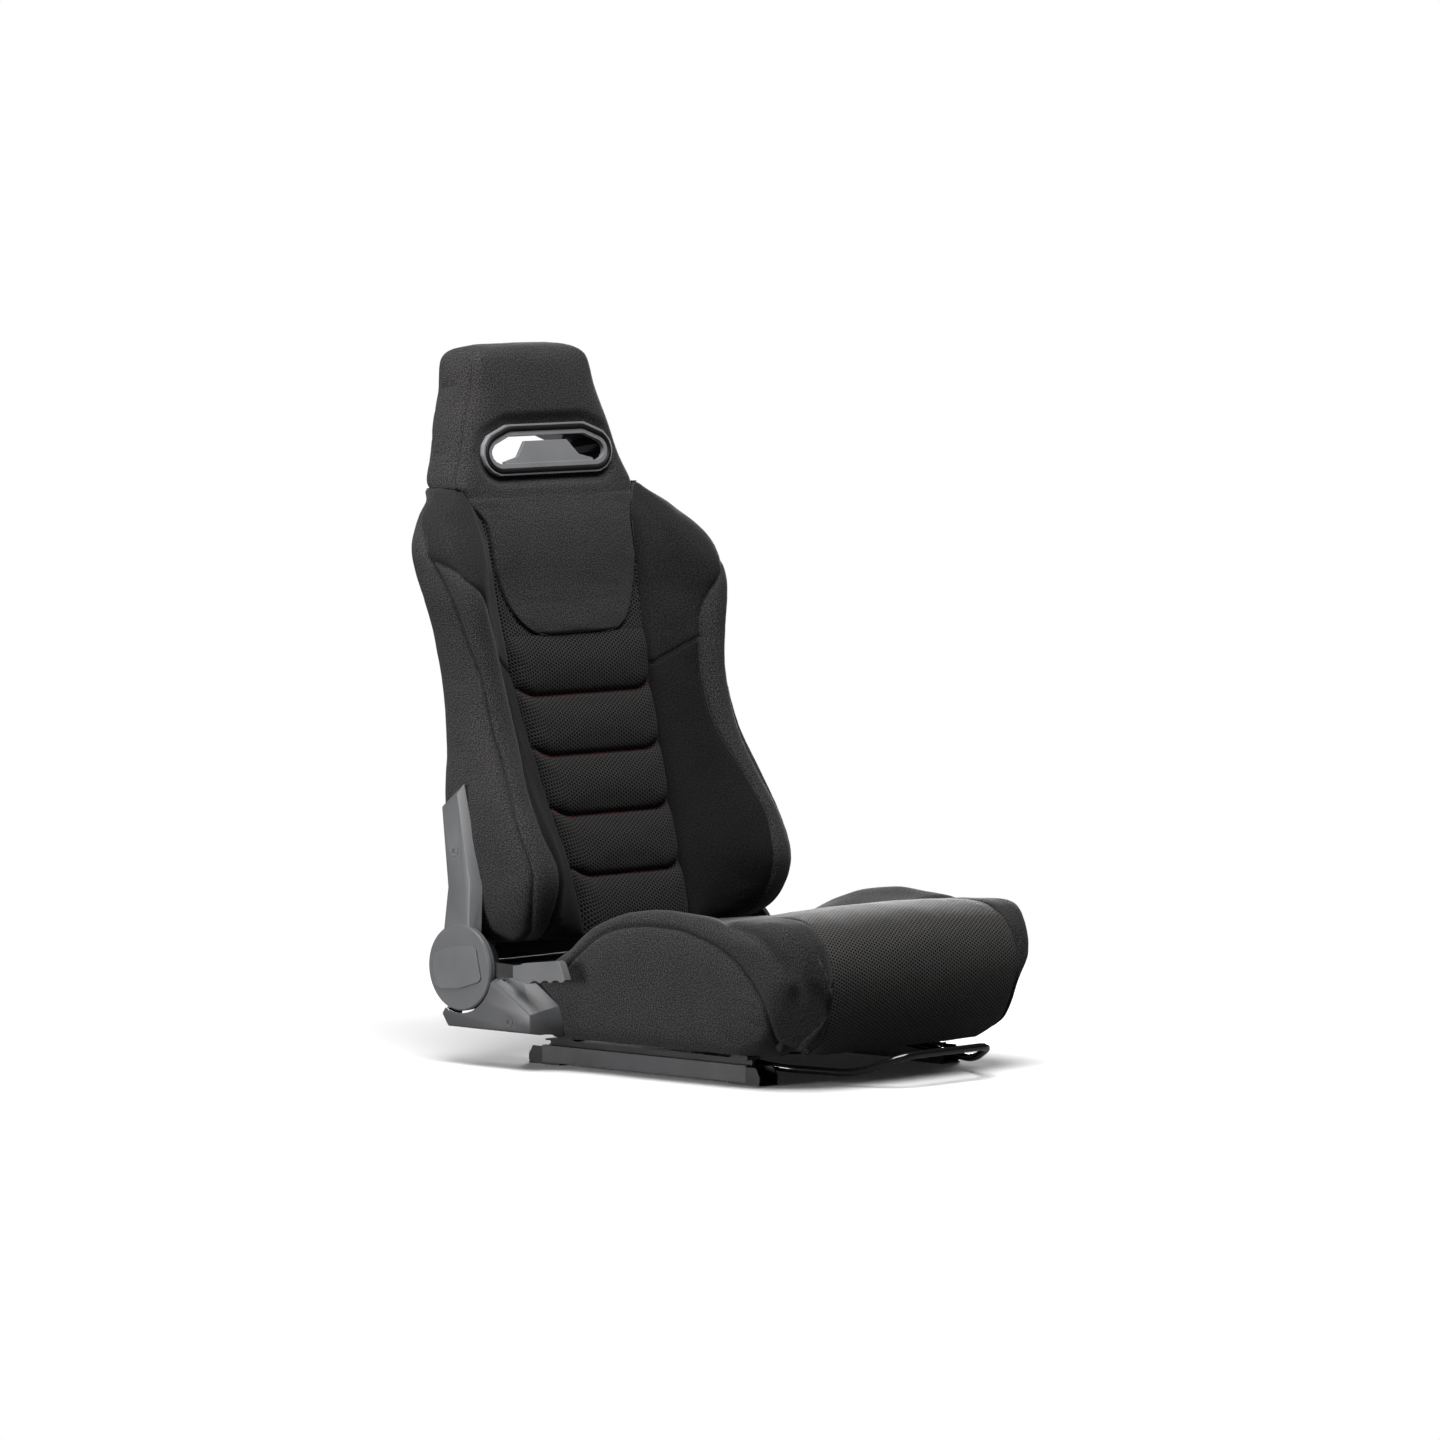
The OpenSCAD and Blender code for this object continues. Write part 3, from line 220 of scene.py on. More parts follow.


# %% [markdown]
# # Cloth finishes
# The seat wears three cloths. A fine dry knit covers the sides and the headrest, a smoother and darker
# one lines the inner side of the bolsters, and an open air mesh lies where the sitter's back and
# thighs touch. The knit of the inner panels above their slanting seams and the mesh of the backrest
# are darker copies of the side knit and of the seat's mesh, and they carry painted shade. A printed
# pattern would blur close up, so each one is built from sine waves on a map that runs in metres along
# the piece: the threads keep their size wherever the surface bends.

# %% Knitted cloth
def cloth_map(tree, pitch):
    """The piece's own map, with one thread to each whole number."""
    at = node(tree, "ShaderNodeUVMap", uv_map="cloth")
    scaled = node(tree, "ShaderNodeMapping", {"Vector": at.outputs[0], "Scale": (1 / pitch,) * 3})
    parts = node(tree, "ShaderNodeSeparateXYZ", {0: scaled.outputs[0]})
    return parts.outputs[0], parts.outputs[1], at.outputs[0]


def wave(tree, value, turns, shift=0.0):
    """Sine of a value. Each whole number of it makes the given number of half turns."""
    angle = math_node(tree, "MULTIPLY_ADD", value, turns * math.pi, shift)
    return math_node(tree, "SINE", angle)


def knit(name, dark, light, pitch, sheen, roughness=0.86):
    """Rows of small loops with painted shade between them, mottled by stray fibres and by broad patches."""
    material, tree, out = new_material(name)
    across, along, place = cloth_map(tree, pitch)
    rows = wave(tree, along, 2.0)
    lean = math_node(tree, "MULTIPLY_ADD", rows, 0.18, across)
    stitches = math_node(tree, "ABSOLUTE", wave(tree, lean, 1.0))
    loops = math_node(tree, "MULTIPLY", stitches, math_node(tree, "MULTIPLY_ADD", rows, 0.3, 0.7))
    mottle = node(tree, "ShaderNodeTexNoise", {"Vector": place, "Scale": 560.0, "Detail": 2.0})
    patch = node(tree, "ShaderNodeTexNoise", {"Vector": place, "Scale": 24.0, "Detail": 2.0})
    specks = node(tree, "ShaderNodeMapRange", {
        "Value": mottle.outputs["Fac"], "From Min": 0.37, "From Max": 0.63, "To Min": -0.55, "To Max": 1.1})
    both = math_node(tree, "MULTIPLY_ADD", patch.outputs["Fac"], 0.3, math_node(
        tree, "ADD", specks.outputs[0], -0.15))
    # The loops lift the colour on their tops and darken it in the pits between them: painted shade.
    share = math_node(tree, "MULTIPLY_ADD", loops, 0.3, both)
    clamped = node(tree, "ShaderNodeClamp", {0: share}).outputs[0]
    colour = mix_colour(tree, clamped, dark, light)
    bump = node(tree, "ShaderNodeBump", {"Height": loops, "Strength": 0.35, "Distance": 0.0004})
    rough = math_node(tree, "MULTIPLY_ADD", mottle.outputs["Fac"], 0.08, roughness)
    face = node(tree, "ShaderNodeBsdfPrincipled", {
        "Base Color": colour, "Roughness": rough, "Normal": bump.outputs[0], "Sheen Weight": sheen,
        "Sheen Roughness": 0.45, "Specular IOR Level": 0.15})
    tree.links.new(face.outputs[0], out.inputs["Surface"])
    return material


side_knit = knit("side_knit", (0.011, 0.0104, 0.0106, 1), (0.058, 0.0555, 0.0560, 1), 0.0016, 0.08)
inner_knit = knit("inner_knit", (0.0035, 0.0034, 0.0035, 1), (0.0155, 0.0151, 0.0155, 1), 0.0011, 0.03)
# The side knit at half its brightness: painted shade for the inner panel above the slanting seam.
upper_knit = knit("upper_knit", (0.006, 0.0059, 0.006, 1), (0.029, 0.0284, 0.029, 1), 0.0014, 0.05)
print("knits:", side_knit.name, inner_knit.name, upper_knit.name)


# %% Air mesh
def air_mesh(name, pitch, low, high, open_share=(-0.9, 1.3)):
    """Bright threads round six-sided holes: the sum of three waves, a sixth of a turn apart."""
    material, tree, out = new_material(name)
    across, along, place = cloth_map(tree, pitch)
    slant = math_node(tree, "MULTIPLY", along, math.sqrt(3) / 2)
    half = math_node(tree, "MULTIPLY", across, 0.5)
    total = wave(tree, across, 2.0, math.pi / 2)
    for side in (1.0, -1.0):
        line = math_node(tree, "MULTIPLY_ADD", slant, side, half)
        total = math_node(tree, "ADD", total, wave(tree, line, 2.0, math.pi / 2))
    dots = node(tree, "ShaderNodeMapRange", {
        "Value": total, "From Min": open_share[0], "From Max": open_share[1]})
    threads = math_node(tree, "SUBTRACT", 1.0, dots.outputs[0])
    fuzz = node(tree, "ShaderNodeTexNoise", {"Vector": place, "Scale": 900.0, "Detail": 2.0})
    share = math_node(tree, "MULTIPLY", threads, math_node(
        tree, "MULTIPLY_ADD", fuzz.outputs["Fac"], 0.6, 0.6))
    colour = mix_colour(tree, share, low, high)
    bump = node(tree, "ShaderNodeBump", {"Height": threads, "Strength": 0.75, "Distance": 0.001})
    face = node(tree, "ShaderNodeBsdfPrincipled", {
        "Base Color": colour, "Roughness": 0.72, "Normal": bump.outputs[0], "Sheen Weight": 0.04,
        "Specular IOR Level": 0.15})
    tree.links.new(face.outputs[0], out.inputs["Surface"])
    return material


mesh_cloth = air_mesh("mesh_cloth", 0.0042, (0.003, 0.003, 0.003, 1), (0.082, 0.079, 0.077, 1))
# The seat's air mesh again, darker and more open: painted shade for the backrest's mesh, which lies recessed
# between the bolsters and beside the tongue.
back_mesh = air_mesh("back_mesh", 0.0045, (0.0006, 0.0006, 0.0006, 1), (0.042, 0.0402, 0.0396, 1),
                     (-1.1, 0.1))
print("meshes:", mesh_cloth.name, back_mesh.name)

# %% [markdown]
# # Thread, plastic and steel
# Hard parts need a finish too: moulded grain on the covers, satin paint that is worn a little at its
# edges on the steel, gloss on the bar. Grain comes from fine noise in the bump, wear from the
# pointiness of the surface, and both read the object's own coordinates, so nothing slides.

# %% Thread
def thread(name, colour):
    """Twisted thread, with painted shade between its turns."""
    material, tree, out = new_material(name)
    place = node(tree, "ShaderNodeTexCoord")
    twist_shade = node(tree, "ShaderNodeTexWave", {"Vector": place.outputs["Object"], "Scale": 900.0})
    # A wave along the thread darkens it between its turns: painted shade.
    low = tuple(c * 0.55 for c in colour[:3]) + (1,)
    shade = mix_colour(tree, twist_shade.outputs["Fac"], low, colour)
    face = node(tree, "ShaderNodeBsdfPrincipled", {
        "Base Color": shade, "Roughness": 0.6, "Sheen Weight": 0.1, "Specular IOR Level": 0.3})
    tree.links.new(face.outputs[0], out.inputs["Surface"])
    return material


black_thread = thread("black_thread", (0.004, 0.0039, 0.004, 1))
red_thread = thread("red_thread", (0.30, 0.018, 0.020, 1))
# Near-black for the beads that carry painted shade in the seams' folds.
seam_shade = thread("seam_shade", (0.003, 0.003, 0.003, 1))
print("threads:", black_thread.name, red_thread.name, seam_shade.name)


# %% Moulded and painted finishes
def hard_finish(name, colour, roughness, grain_scale, grain, wear=0.0, metallic=0.0, coat=0.0,
                specular=0.5):
    """Plastic, paint or steel: two close tones, a fine grain, and wear on its edges if asked for."""
    material, tree, out = new_material(name)
    place = node(tree, "ShaderNodeTexCoord").outputs["Object"]
    fine = node(tree, "ShaderNodeTexNoise", {"Vector": place, "Scale": grain_scale, "Detail": 2.0})
    broad = node(tree, "ShaderNodeTexNoise", {"Vector": place, "Scale": 18.0, "Detail": 4.0})
    low = tuple(c * 0.86 for c in colour[:3]) + (1,)
    high = tuple(min(c * 1.12, 1) for c in colour[:3]) + (1,)
    shade = mix_colour(tree, broad.outputs["Fac"], low, high)
    if wear:
        edge = node(tree, "ShaderNodeNewGeometry").outputs["Pointiness"]
        worn = node(tree, "ShaderNodeMapRange", {"Value": edge, "From Min": 0.515, "From Max": 0.56,
                                                 "To Max": wear})
        rubbed = math_node(tree, "MULTIPLY", worn.outputs[0], broad.outputs["Fac"])
        bare = tuple(min(c * 2.2 + 0.03, 1) for c in colour[:3]) + (1,)
        shade = mix_colour(tree, rubbed, shade, bare)
    rough = math_node(tree, "MULTIPLY_ADD", broad.outputs["Fac"], 0.12, roughness - 0.06)
    bump = node(tree, "ShaderNodeBump", {"Height": fine.outputs["Fac"], "Strength": grain,
                                         "Distance": 0.0003})
    face = node(tree, "ShaderNodeBsdfPrincipled", {
        "Base Color": shade, "Roughness": rough, "Metallic": metallic, "Coat Weight": coat,
        "Coat Roughness": 0.08, "Specular IOR Level": specular, "Normal": bump.outputs[0]})
    tree.links.new(face.outputs[0], out.inputs["Surface"])
    return material


grey_plastic = hard_finish("grey_plastic", (0.108, 0.110, 0.115, 1), 0.42, 1600, 0.35, wear=0.25)
foot_plastic = hard_finish("foot_plastic", (0.066, 0.067, 0.071, 1), 0.42, 1600, 0.35, wear=0.25)
ring_plastic = hard_finish("ring_plastic", (0.215, 0.217, 0.225, 1), 0.36, 1800, 0.25, wear=0.2)
grip_plastic = hard_finish("grip_plastic", (0.115, 0.117, 0.122, 1), 0.46, 1800, 0.25, wear=0.2)
black_plastic = hard_finish("black_plastic", (0.018, 0.018, 0.019, 1), 0.42, 1500, 0.3)
bezel_plastic = hard_finish("bezel_plastic", (0.009, 0.009, 0.0095, 1), 0.55, 1500, 0.3, specular=0.2)
gloss_plastic = hard_finish("gloss_plastic", (0.006, 0.006, 0.006, 1), 0.14, 900, 0.05, coat=0.5)
shell_plastic = hard_finish("shell_plastic", (0.026, 0.026, 0.028, 1), 0.55, 1100, 0.6)
rail_paint = hard_finish("rail_paint", (0.055, 0.055, 0.058, 1), 0.36, 1300, 0.2, wear=0.5,
                         metallic=0.3)
black_paint = hard_finish("black_paint", (0.012, 0.012, 0.013, 1), 0.36, 1200, 0.2, wear=0.4)
gloss_paint = hard_finish("gloss_paint", (0.006, 0.006, 0.007, 1), 0.16, 800, 0.04, coat=0.6)
bare_steel = hard_finish("bare_steel", (0.46, 0.46, 0.48, 1), 0.30, 2400, 0.15, metallic=1.0)
print("finishes:", len(bpy.data.materials))

# %% [markdown]
# # Smooth lines through a few measured points
# A seat is sewn from panels whose edges are long smooth curves. Each edge can be written as a short
# table of heights and half widths, and the places between them come from a cubic curve that passes
# through every row of the table. That keeps the shape in a few numbers that can be read and changed.

# %% Smooth lines
MM = 0.001


def at_key(keys, t, column=1):
    """Value of a column at place t, on a smooth curve through the rows of the table."""
    k = np.asarray(keys, float)
    u = np.clip(t, k[0, 0], k[-1, 0])
    i = np.clip(np.searchsorted(k[:, 0], u, side="right") - 1, 0, len(k) - 2)
    near = np.arange(len(k))
    low, high = np.maximum(near - 1, 0), np.minimum(near + 1, len(k) - 1)
    slope = (k[high, column] - k[low, column]) / (k[high, 0] - k[low, 0])
    h = k[i + 1, 0] - k[i, 0]
    s = (u - k[i, 0]) / h
    return (k[i, column] * (1 - 3 * s**2 + 2 * s**3) + slope[i] * h * (s - 2 * s**2 + s**3)
            + k[i + 1, column] * (3 * s**2 - 2 * s**3) + slope[i + 1] * h * (s**3 - s**2))


def lerp(a, b, t):
    """The value that lies the share t of the way from a to b."""
    return a + (b - a) * t


def eased(t):
    """A share from 0 to 1 that starts and stops gently."""
    return t * t * (3 - 2 * t)


def lengths(points):
    """How far along a line each of its points lies."""
    return np.concatenate([[0], np.cumsum(np.linalg.norm(np.diff(points, axis=0), axis=1))])


print("halfway from 0 to 10, eased a quarter of the way:", lerp(0, 10, 0.5), eased(0.25))


# %% Points along a line
def curve_at(points, places):
    """Points at the given shares of the length of a smooth curve through the points."""
    p = np.asarray(points, float)
    run = lengths(p)
    keys = np.column_stack([run, p])
    at = np.asarray(places) * run[-1]
    return np.column_stack([at_key(keys, at, c + 1) for c in range(p.shape[1])])


def on_line(points, places):
    """Points at the given distances along a line of dense points."""
    run = lengths(points)
    return np.column_stack([np.interp(places, run, points[:, c]) for c in range(points.shape[1])])


def spaced(points, count):
    """The same line again, with its points an even distance apart."""
    return on_line(points, np.linspace(0, lengths(points)[-1], count))


def dense(places, count):
    """Many (row place, share) pairs in place of a few, with straight lines between them."""
    p = np.asarray(places, float)
    run = np.linspace(0, 1, len(p))
    return np.column_stack([np.interp(np.linspace(0, 1, count), run, p[:, c]) for c in range(2)])


print("a line through three points, spaced evenly:", len(spaced(np.array([(0, 0), (3, 4), (6, 8)]), 6)))

# %% [markdown]
# # Lines of the backrest
# The back narrows at the waist, swells at the shoulders and runs up into the headrest. Its tables give
# a half width, or a place from front to rear, for a height above the floor. They are worked out from a
# few half widths, so that the hips, the waist, the shoulders and the head can each be changed alone.

# %% Half widths of the backrest, by height
HIP, WAIST, SHOULDER, NECK, HEAD = 262, 241, 258, 168, 109
FOOT_Z, PAD_TOP, BOLSTER_TOP, CAVITY_TOP = 160, 553, 748, 734
PAD_HALF = 101
# Outer edge of the bolsters
OUTER = [
    (160, HIP - 34), (172, HIP - 22), (190, HIP - 9), (222, HIP - 1), (258, HIP), (304, HIP),
    (358, HIP - 4), (420, lerp(HIP, WAIST, 0.78)), (500, WAIST - 1),
    (555, lerp(WAIST, SHOULDER, 0.24)), (610, lerp(WAIST, SHOULDER, 0.86)), (640, SHOULDER),
    (667, SHOULDER - 1), (690, SHOULDER - 12), (717, SHOULDER - 37),
    (735, lerp(SHOULDER, NECK, 0.72)), (748, NECK + 8)]
# Edge between the middle pad and the bolsters, and above them the edge of the headrest
INNER = [
    (160, PAD_HALF - 1), (208, PAD_HALF + 3), (261, PAD_HALF + 7), (314, PAD_HALF + 14),
    (380, PAD_HALF + 21), (433, PAD_HALF + 26), (500, PAD_HALF + 32), (553, PAD_HALF + 36),
    (610, PAD_HALF + 39), (655, PAD_HALF + 41), (700, PAD_HALF + 44), (717, PAD_HALF + 50),
    (735, NECK - 9), (748, NECK - 2), (760, NECK - 4), (792, NECK - 18),
    (834, lerp(NECK, HEAD, 0.55)), (878, HEAD + 9), (909, HEAD + 2), (922, HEAD - 4),
    (930, HEAD - 14), (934, HEAD - 26), (936, HEAD - 42)]
# Hollow behind the bolsters for the frame's tube
HOLLOW = [
    (160, HIP - 46), (257, HIP - 42), (358, HIP - 46), (430, WAIST - 42), (500, WAIST - 43),
    (555, WAIST - 39), (610, SHOULDER - 46), (655, SHOULDER - 46), (690, SHOULDER - 60),
    (717, PAD_HALF + 68), (735, NECK - 4), (748, NECK + 4)]
print("width at hips, waist, shoulders and head:", 2 * HIP, 2 * WAIST, 2 * SHOULDER, 2 * HEAD)

# %% Depths of the backrest, by height
# Front of the middle pad, rear of the shell, how far the shell swells in its middle, how deep the pad is
FRONT = [
    (160, 187), (208, 199), (261, 216), (314, 236), (380, 257), (433, 274), (500, 294), (553, 304),
    (610, 318), (655, 324), (700, 334), (735, 349), (769, 358), (826, 367), (914, 379), (927, 384),
    (933, 394), (936, 410)]
REAR = [
    (160, 279), (180, 292), (217, 298), (257, 301), (304, 306), (358, 313), (420, 323), (484, 331),
    (555, 341), (610, 353), (640, 364), (678, 375), (707, 385), (732, 400), (748, 424), (768, 434),
    (850, 453), (914, 460), (927, 456), (933, 447), (936, 434)]
REAR_CROWN = [(160, 28), (700, 28), (760, 12), (936, 5)]
DEPTH = [
    (160, 34), (208, 34), (261, 30), (314, 25), (380, 21), (433, 18), (500, 17), (553, 21),
    (610, 23), (655, 26), (735, 28)]
# Ridge of the bolsters: half width and place from front to rear
RIDGE = [
    (160, 188, 206), (168, 197, 186), (182, 203, 164), (216, 206, 143), (255, 206, 137),
    (304, 209, 157), (358, 210, 190), (423, 203, 222), (489, 206, 241), (548, 215, 250),
    (594, 225, 254), (630, 222, 261), (659, 208, 277), (690, 190, 301), (709, 177, 322),
    (733, 168, 343), (748, NECK + 2, 357)]
ridge_ahead = [at_key(FRONT, z) - y for z, x, y in RIDGE]
print("the ridge stands up to", round(max(ridge_ahead)), "mm ahead of the middle pad")


# %% Section of a side bolster
SOFT_GAP = 0.7


def rear_y(x, z):
    """Place of the rear shell at half width x and height z."""
    side = at_key(OUTER, z) if z < BOLSTER_TOP else at_key(INNER, z)
    return at_key(REAR, z) + at_key(REAR_CROWN, z) * (1 - (x / side) ** 2)


def hollow_y(z):
    """Place of the wall behind the pads at height z."""
    return at_key(FRONT, z) + at_key(DEPTH, z)


def bolster_line(z):
    """Corner points of one side bolster's face at height z, from the pad round to its rear edge."""
    xi, yi, xo = at_key(INNER, z) + SOFT_GAP, at_key(FRONT, z), at_key(OUTER, z)
    yr, rx, ry = at_key(REAR, z), at_key(RIDGE, z, 1), at_key(RIDGE, z, 2)
    xw = at_key(HOLLOW, z)
    turn, edge = min(46, (yr - ry) * 0.36), min(26, (yr - ry) * 0.24)
    xw = min(xw, xo - edge - 2)
    return [(xi, yi), (lerp(xi, rx, 0.5), lerp(yi, ry, 0.44)), (rx, ry),
            (lerp(rx, xo, 0.82), ry + turn * 0.2), (xo, ry + turn), (xo, yr - edge),
            (xo - edge * 0.35, yr - edge * 0.28), (xo - edge, yr + 1), (xw, rear_y(xw, z))]


print("a bolster's face at the waist is", round(lengths(np.array(bolster_line(420)))[-1]), "mm round")

# %% [markdown]
# # Lines of the seat
# The cushion is swept along a profile that starts at the backrest and rolls over the front edge. Its
# wings are cut across their length instead, because their section changes all the way. Both end at a
# skirt line just above the rails and turn in together at the two lower front corners.

# %% Profile of the seat cushion
SEAT_HALF, MIDDLE_HALF, SEAT_FRONT, ROLL_Z, THIGH_Z = 240, 160, 329, 223, 220
SKIRT_Z, PAN_Z, SKIRT_Y = 43, 90, 288
FLARE, FLARE_FROM, FLARE_TO = 20, -100, -270
ROLL_END = 21.0
# Step along the sweep, top edge (y, z) and lower edge (y, z)
ROLL = [
    (0, 148, 157, 148, PAN_Z), (1, 143, 166, 142, PAN_Z), (2, 128, 170.5, 127, PAN_Z),
    (3, 92, 174.5, 92, PAN_Z), (4, 44, 179.5, 44, PAN_Z), (5, -4, 184.5, -4, PAN_Z),
    (6, -52, 191, -52, PAN_Z), (7, -100, 198.5, -100, PAN_Z), (8, -143, ROLL_Z - 17, -143, PAN_Z),
    (9, -186, ROLL_Z - 9, -186, PAN_Z), (10, -228, ROLL_Z - 4, -228, PAN_Z),
    (11, -252, ROLL_Z - 4, -252, PAN_Z), (12, -270, ROLL_Z - 8, -270, PAN_Z),
    (13, 41 - SEAT_FRONT, ROLL_Z - 17, -SKIRT_Y + 10, PAN_Z),
    (14, 27 - SEAT_FRONT, ROLL_Z - 29, -SKIRT_Y, PAN_Z - 2),
    (15, 14 - SEAT_FRONT, ROLL_Z - 52, -SKIRT_Y - 1, 84),
    (16, 8 - SEAT_FRONT, ROLL_Z - 78, -SKIRT_Y - 2, 78),
    (17, 10 - SEAT_FRONT, ROLL_Z - 106, -SKIRT_Y - 2, 71),
    (18, 18 - SEAT_FRONT, ROLL_Z - 135, -SKIRT_Y, 64),
    (19, 31 - SEAT_FRONT, ROLL_Z - 159, -SKIRT_Y + 5, 56),
    (20, 44 - SEAT_FRONT, SKIRT_Z + 6, -SKIRT_Y + 13, SKIRT_Z + 6),
    (21, 53 - SEAT_FRONT, SKIRT_Z, -SKIRT_Y + 17, SKIRT_Z + 1)]


def cushion_x(y):
    """Half width of the middle cushion, which flares out towards the front roll."""
    return MIDDLE_HALF + FLARE * np.clip((FLARE_FROM - y) / (FLARE_FROM - FLARE_TO), 0, 1)


print("front roll:", 2 * float(cushion_x(-SEAT_FRONT)), "mm wide, top at", ROLL_Z, "mm")

# %% Section of a thigh bolster
# Place y, height of the crest, outer half width, height of the inner edge, height of the skirt, and
# how far the skirt is tucked in
THIGH = [
    (13 - SEAT_FRONT, 127, SEAT_HALF - 46, 132, SKIRT_Z + 58, 2),
    (17 - SEAT_FRONT, 157, SEAT_HALF - 35, 160, SKIRT_Z + 43, 2),
    (25 - SEAT_FRONT, 184, SEAT_HALF - 22, 188, SKIRT_Z + 28, 2),
    (39 - SEAT_FRONT, 203, SEAT_HALF - 12, 205, SKIRT_Z + 10, 2),
    (54 - SEAT_FRONT, 212, SEAT_HALF - 5, 214, SKIRT_Z, 2),
    (74 - SEAT_FRONT, 216, SEAT_HALF - 1, 218, SKIRT_Z, 2),
    (-225, THIGH_Z - 6, SEAT_HALF, 218, SKIRT_Z, 4), (-180, THIGH_Z - 6, SEAT_HALF, 212.5, SKIRT_Z, 2),
    (-125, THIGH_Z - 3, SEAT_HALF, 204, SKIRT_Z, 1), (-70, THIGH_Z, SEAT_HALF, 196, SKIRT_Z, 0),
    (-10, THIGH_Z - 7, SEAT_HALF, 187, SKIRT_Z, 0), (20, THIGH_Z - 15, SEAT_HALF, 183, SKIRT_Z, 0),
    (50, THIGH_Z - 27, SEAT_HALF, 177, SKIRT_Z, 0), (78, THIGH_Z - 45, SEAT_HALF, 166, SKIRT_Z, 0),
    (96, THIGH_Z - 60, SEAT_HALF, 153, SKIRT_Z, 0), (112, 151, SEAT_HALF - 1, 145, SKIRT_Z, 0),
    (124, 144, SEAT_HALF - 2, 138, SKIRT_Z + 2, 0), (136, 137, SEAT_HALF - 4, 131, SKIRT_Z + 8, 0),
    (148, 130, SEAT_HALF - 7, 125, SKIRT_Z + 15, 0), (160, 123, SEAT_HALF - 10, 119, SKIRT_Z + 23, 0)]
THIGH_END, THIGH_FRONT = 160, -316
FRAME_SIDE = 214


def thigh_line(y):
    """Corner points (x, z) of a thigh bolster's face at place y, from the middle cushion outwards."""
    zc, xo, zi, zb, tuck = (at_key(THIGH, y, c) for c in (1, 2, 3, 4, 5))
    xi = cushion_x(y) + SOFT_GAP
    return [(xi, zi), (lerp(xi, xo, 0.45), max(lerp(zi, zc, 0.62), zi - 2)), (xo - 18, zc + 0.5),
            (xo - 7, zc - 3), (xo, zc - (zc - zb) * 0.16), (xo - tuck * 0.1, lerp(zc, zb, 0.5)),
            (xo - 1 - tuck * 0.7, zb + 8), (xo - 5 - tuck, zb)]


print("a thigh bolster's face in its middle is", round(lengths(np.array(thigh_line(-77)))[-1]), "mm round")


# %% Lower front corners of the seat
# By height, the plan size |x| + 1.07 |y| that the corners keep to
CORNER = [
    (36, 434), (43, 446), (49, 460), (58, 482), (67, 496), (88, 509), (126, 530), (150, 560), (180, 620)]
CORNER_SLANT, CORNER_REACH, CORNER_WAY = 1.07, 1.465, (0.683, 0.73)
CORNER_SOFT, CORNER_Y, CORNER_X = 12, -150, 60


def corner_cut(points):
    """Rounds the seat's lower front corners off: points past the slanting limit fall back on it."""
    x, y, z = (points[..., i] for i in range(3))
    past = (np.abs(x) + CORNER_SLANT * np.abs(y) - at_key(CORNER, z)) / CORNER_REACH
    eased_in = np.clip(past + CORNER_SOFT, 0, None) ** 2 / (4 * CORNER_SOFT)
    back = np.where(past > CORNER_SOFT, past, eased_in) * (y < CORNER_Y)
    back *= np.clip((np.abs(x) - CORNER_X) / CORNER_X, 0, 1)
    return np.stack([x - np.sign(x) * CORNER_WAY[0] * back, y + CORNER_WAY[1] * back, z], axis=-1)


probe = np.array([[SEAT_HALF, -300.0, 60.0]])
print("a corner point moves from", probe[0].tolist(), "to", corner_cut(probe)[0].round(1).tolist())

# %% [markdown]
# # How a padded piece is built
# A sewn pad is a closed skin over foam. Each one here is a stack of closed outlines, one above the
# other, joined into a skin of small four-sided faces. The outlines crowd together beside each seam, so
# that the seam can be a real groove with a fold in it, and the panels between seams are pushed out a
# little, as foam does. The skin carries a map in metres for the cloth.

# %% Places beside a seam
NEAR_SEAM = (0.9, 2.0, 3.6, 6.0)
SPAN_EXTRA = 2 * len(NEAR_SEAM) + 1


def span(a, b, count):
    """Places from a up to b, without b: close beside both ends, even between them."""
    near = np.array(NEAR_SEAM) * min(1.0, 0.42 * (b - a) / NEAR_SEAM[-1])
    middle = np.linspace(a + near[-1], b - near[-1], count + 2)[1:-1]
    return np.concatenate([[a], a + near, middle, b - near[::-1]])


def end_inset(rows, low, high, r):
    """How far each row is drawn in to round both ends of a skin with the radius r."""
    near = np.minimum(rows - low, high - rows)
    t = np.clip(1 - near / r, 0, 1)
    return r * (1 - np.sqrt(1 - t**2))


def rounded_rows(low, high, r, steps, *pieces):
    """Row places, close together at both ends. Each piece between them is (from, to, step)."""
    turn = np.linspace(0, np.pi / 2, steps)
    ends = r * (1 - np.cos(turn))
    inner = np.concatenate([np.arange(a, b, s) for a, b, s in pieces])
    inner = inner[(inner > low + r + 0.6) & (inner < high - r - 0.6)]
    return np.concatenate([low + ends, inner, (high - ends)[::-1]])


def drawn_in(outline, amount):
    """A closed flat outline moved inwards by a small amount."""
    if amount < 1e-6:
        return outline
    ahead = np.roll(outline, -1, axis=0) - np.roll(outline, 1, axis=0)
    ahead /= np.maximum(np.linalg.norm(ahead, axis=1, keepdims=True), 1e-9)
    area = np.sum(outline[:, 0] * np.roll(outline[:, 1], -1) - np.roll(outline[:, 0], -1) * outline[:, 1])
    way = np.column_stack([-ahead[:, 1], ahead[:, 0]]) * np.sign(area)
    return outline + way * amount


print("places across 40 mm between two seams:", span(0, 40, 3).round(1).tolist())

# %% Measures on a skin
def normals_of(skin):
    """Outward direction at each point of a skin whose rows are closed outlines."""
    across = np.roll(skin, -1, axis=1) - np.roll(skin, 1, axis=1)
    along = np.gradient(skin, axis=0)
    n = np.cross(across, along)
    n /= np.maximum(np.linalg.norm(n, axis=2, keepdims=True), 1e-9)
    middle = skin.reshape(-1, 3).mean(axis=0)
    inward = np.sum(n * (skin - middle)) < 0
    return -n if inward else n


def seam_distance(skin, line):
    """Distance of every point of a skin from the nearest point of a seam's line."""
    flat = skin.reshape(-1, 3)
    best = np.full(len(flat), 1e9)
    for point in line:
        best = np.minimum(best, np.linalg.norm(flat - point, axis=1))
    return best.reshape(skin.shape[:2])


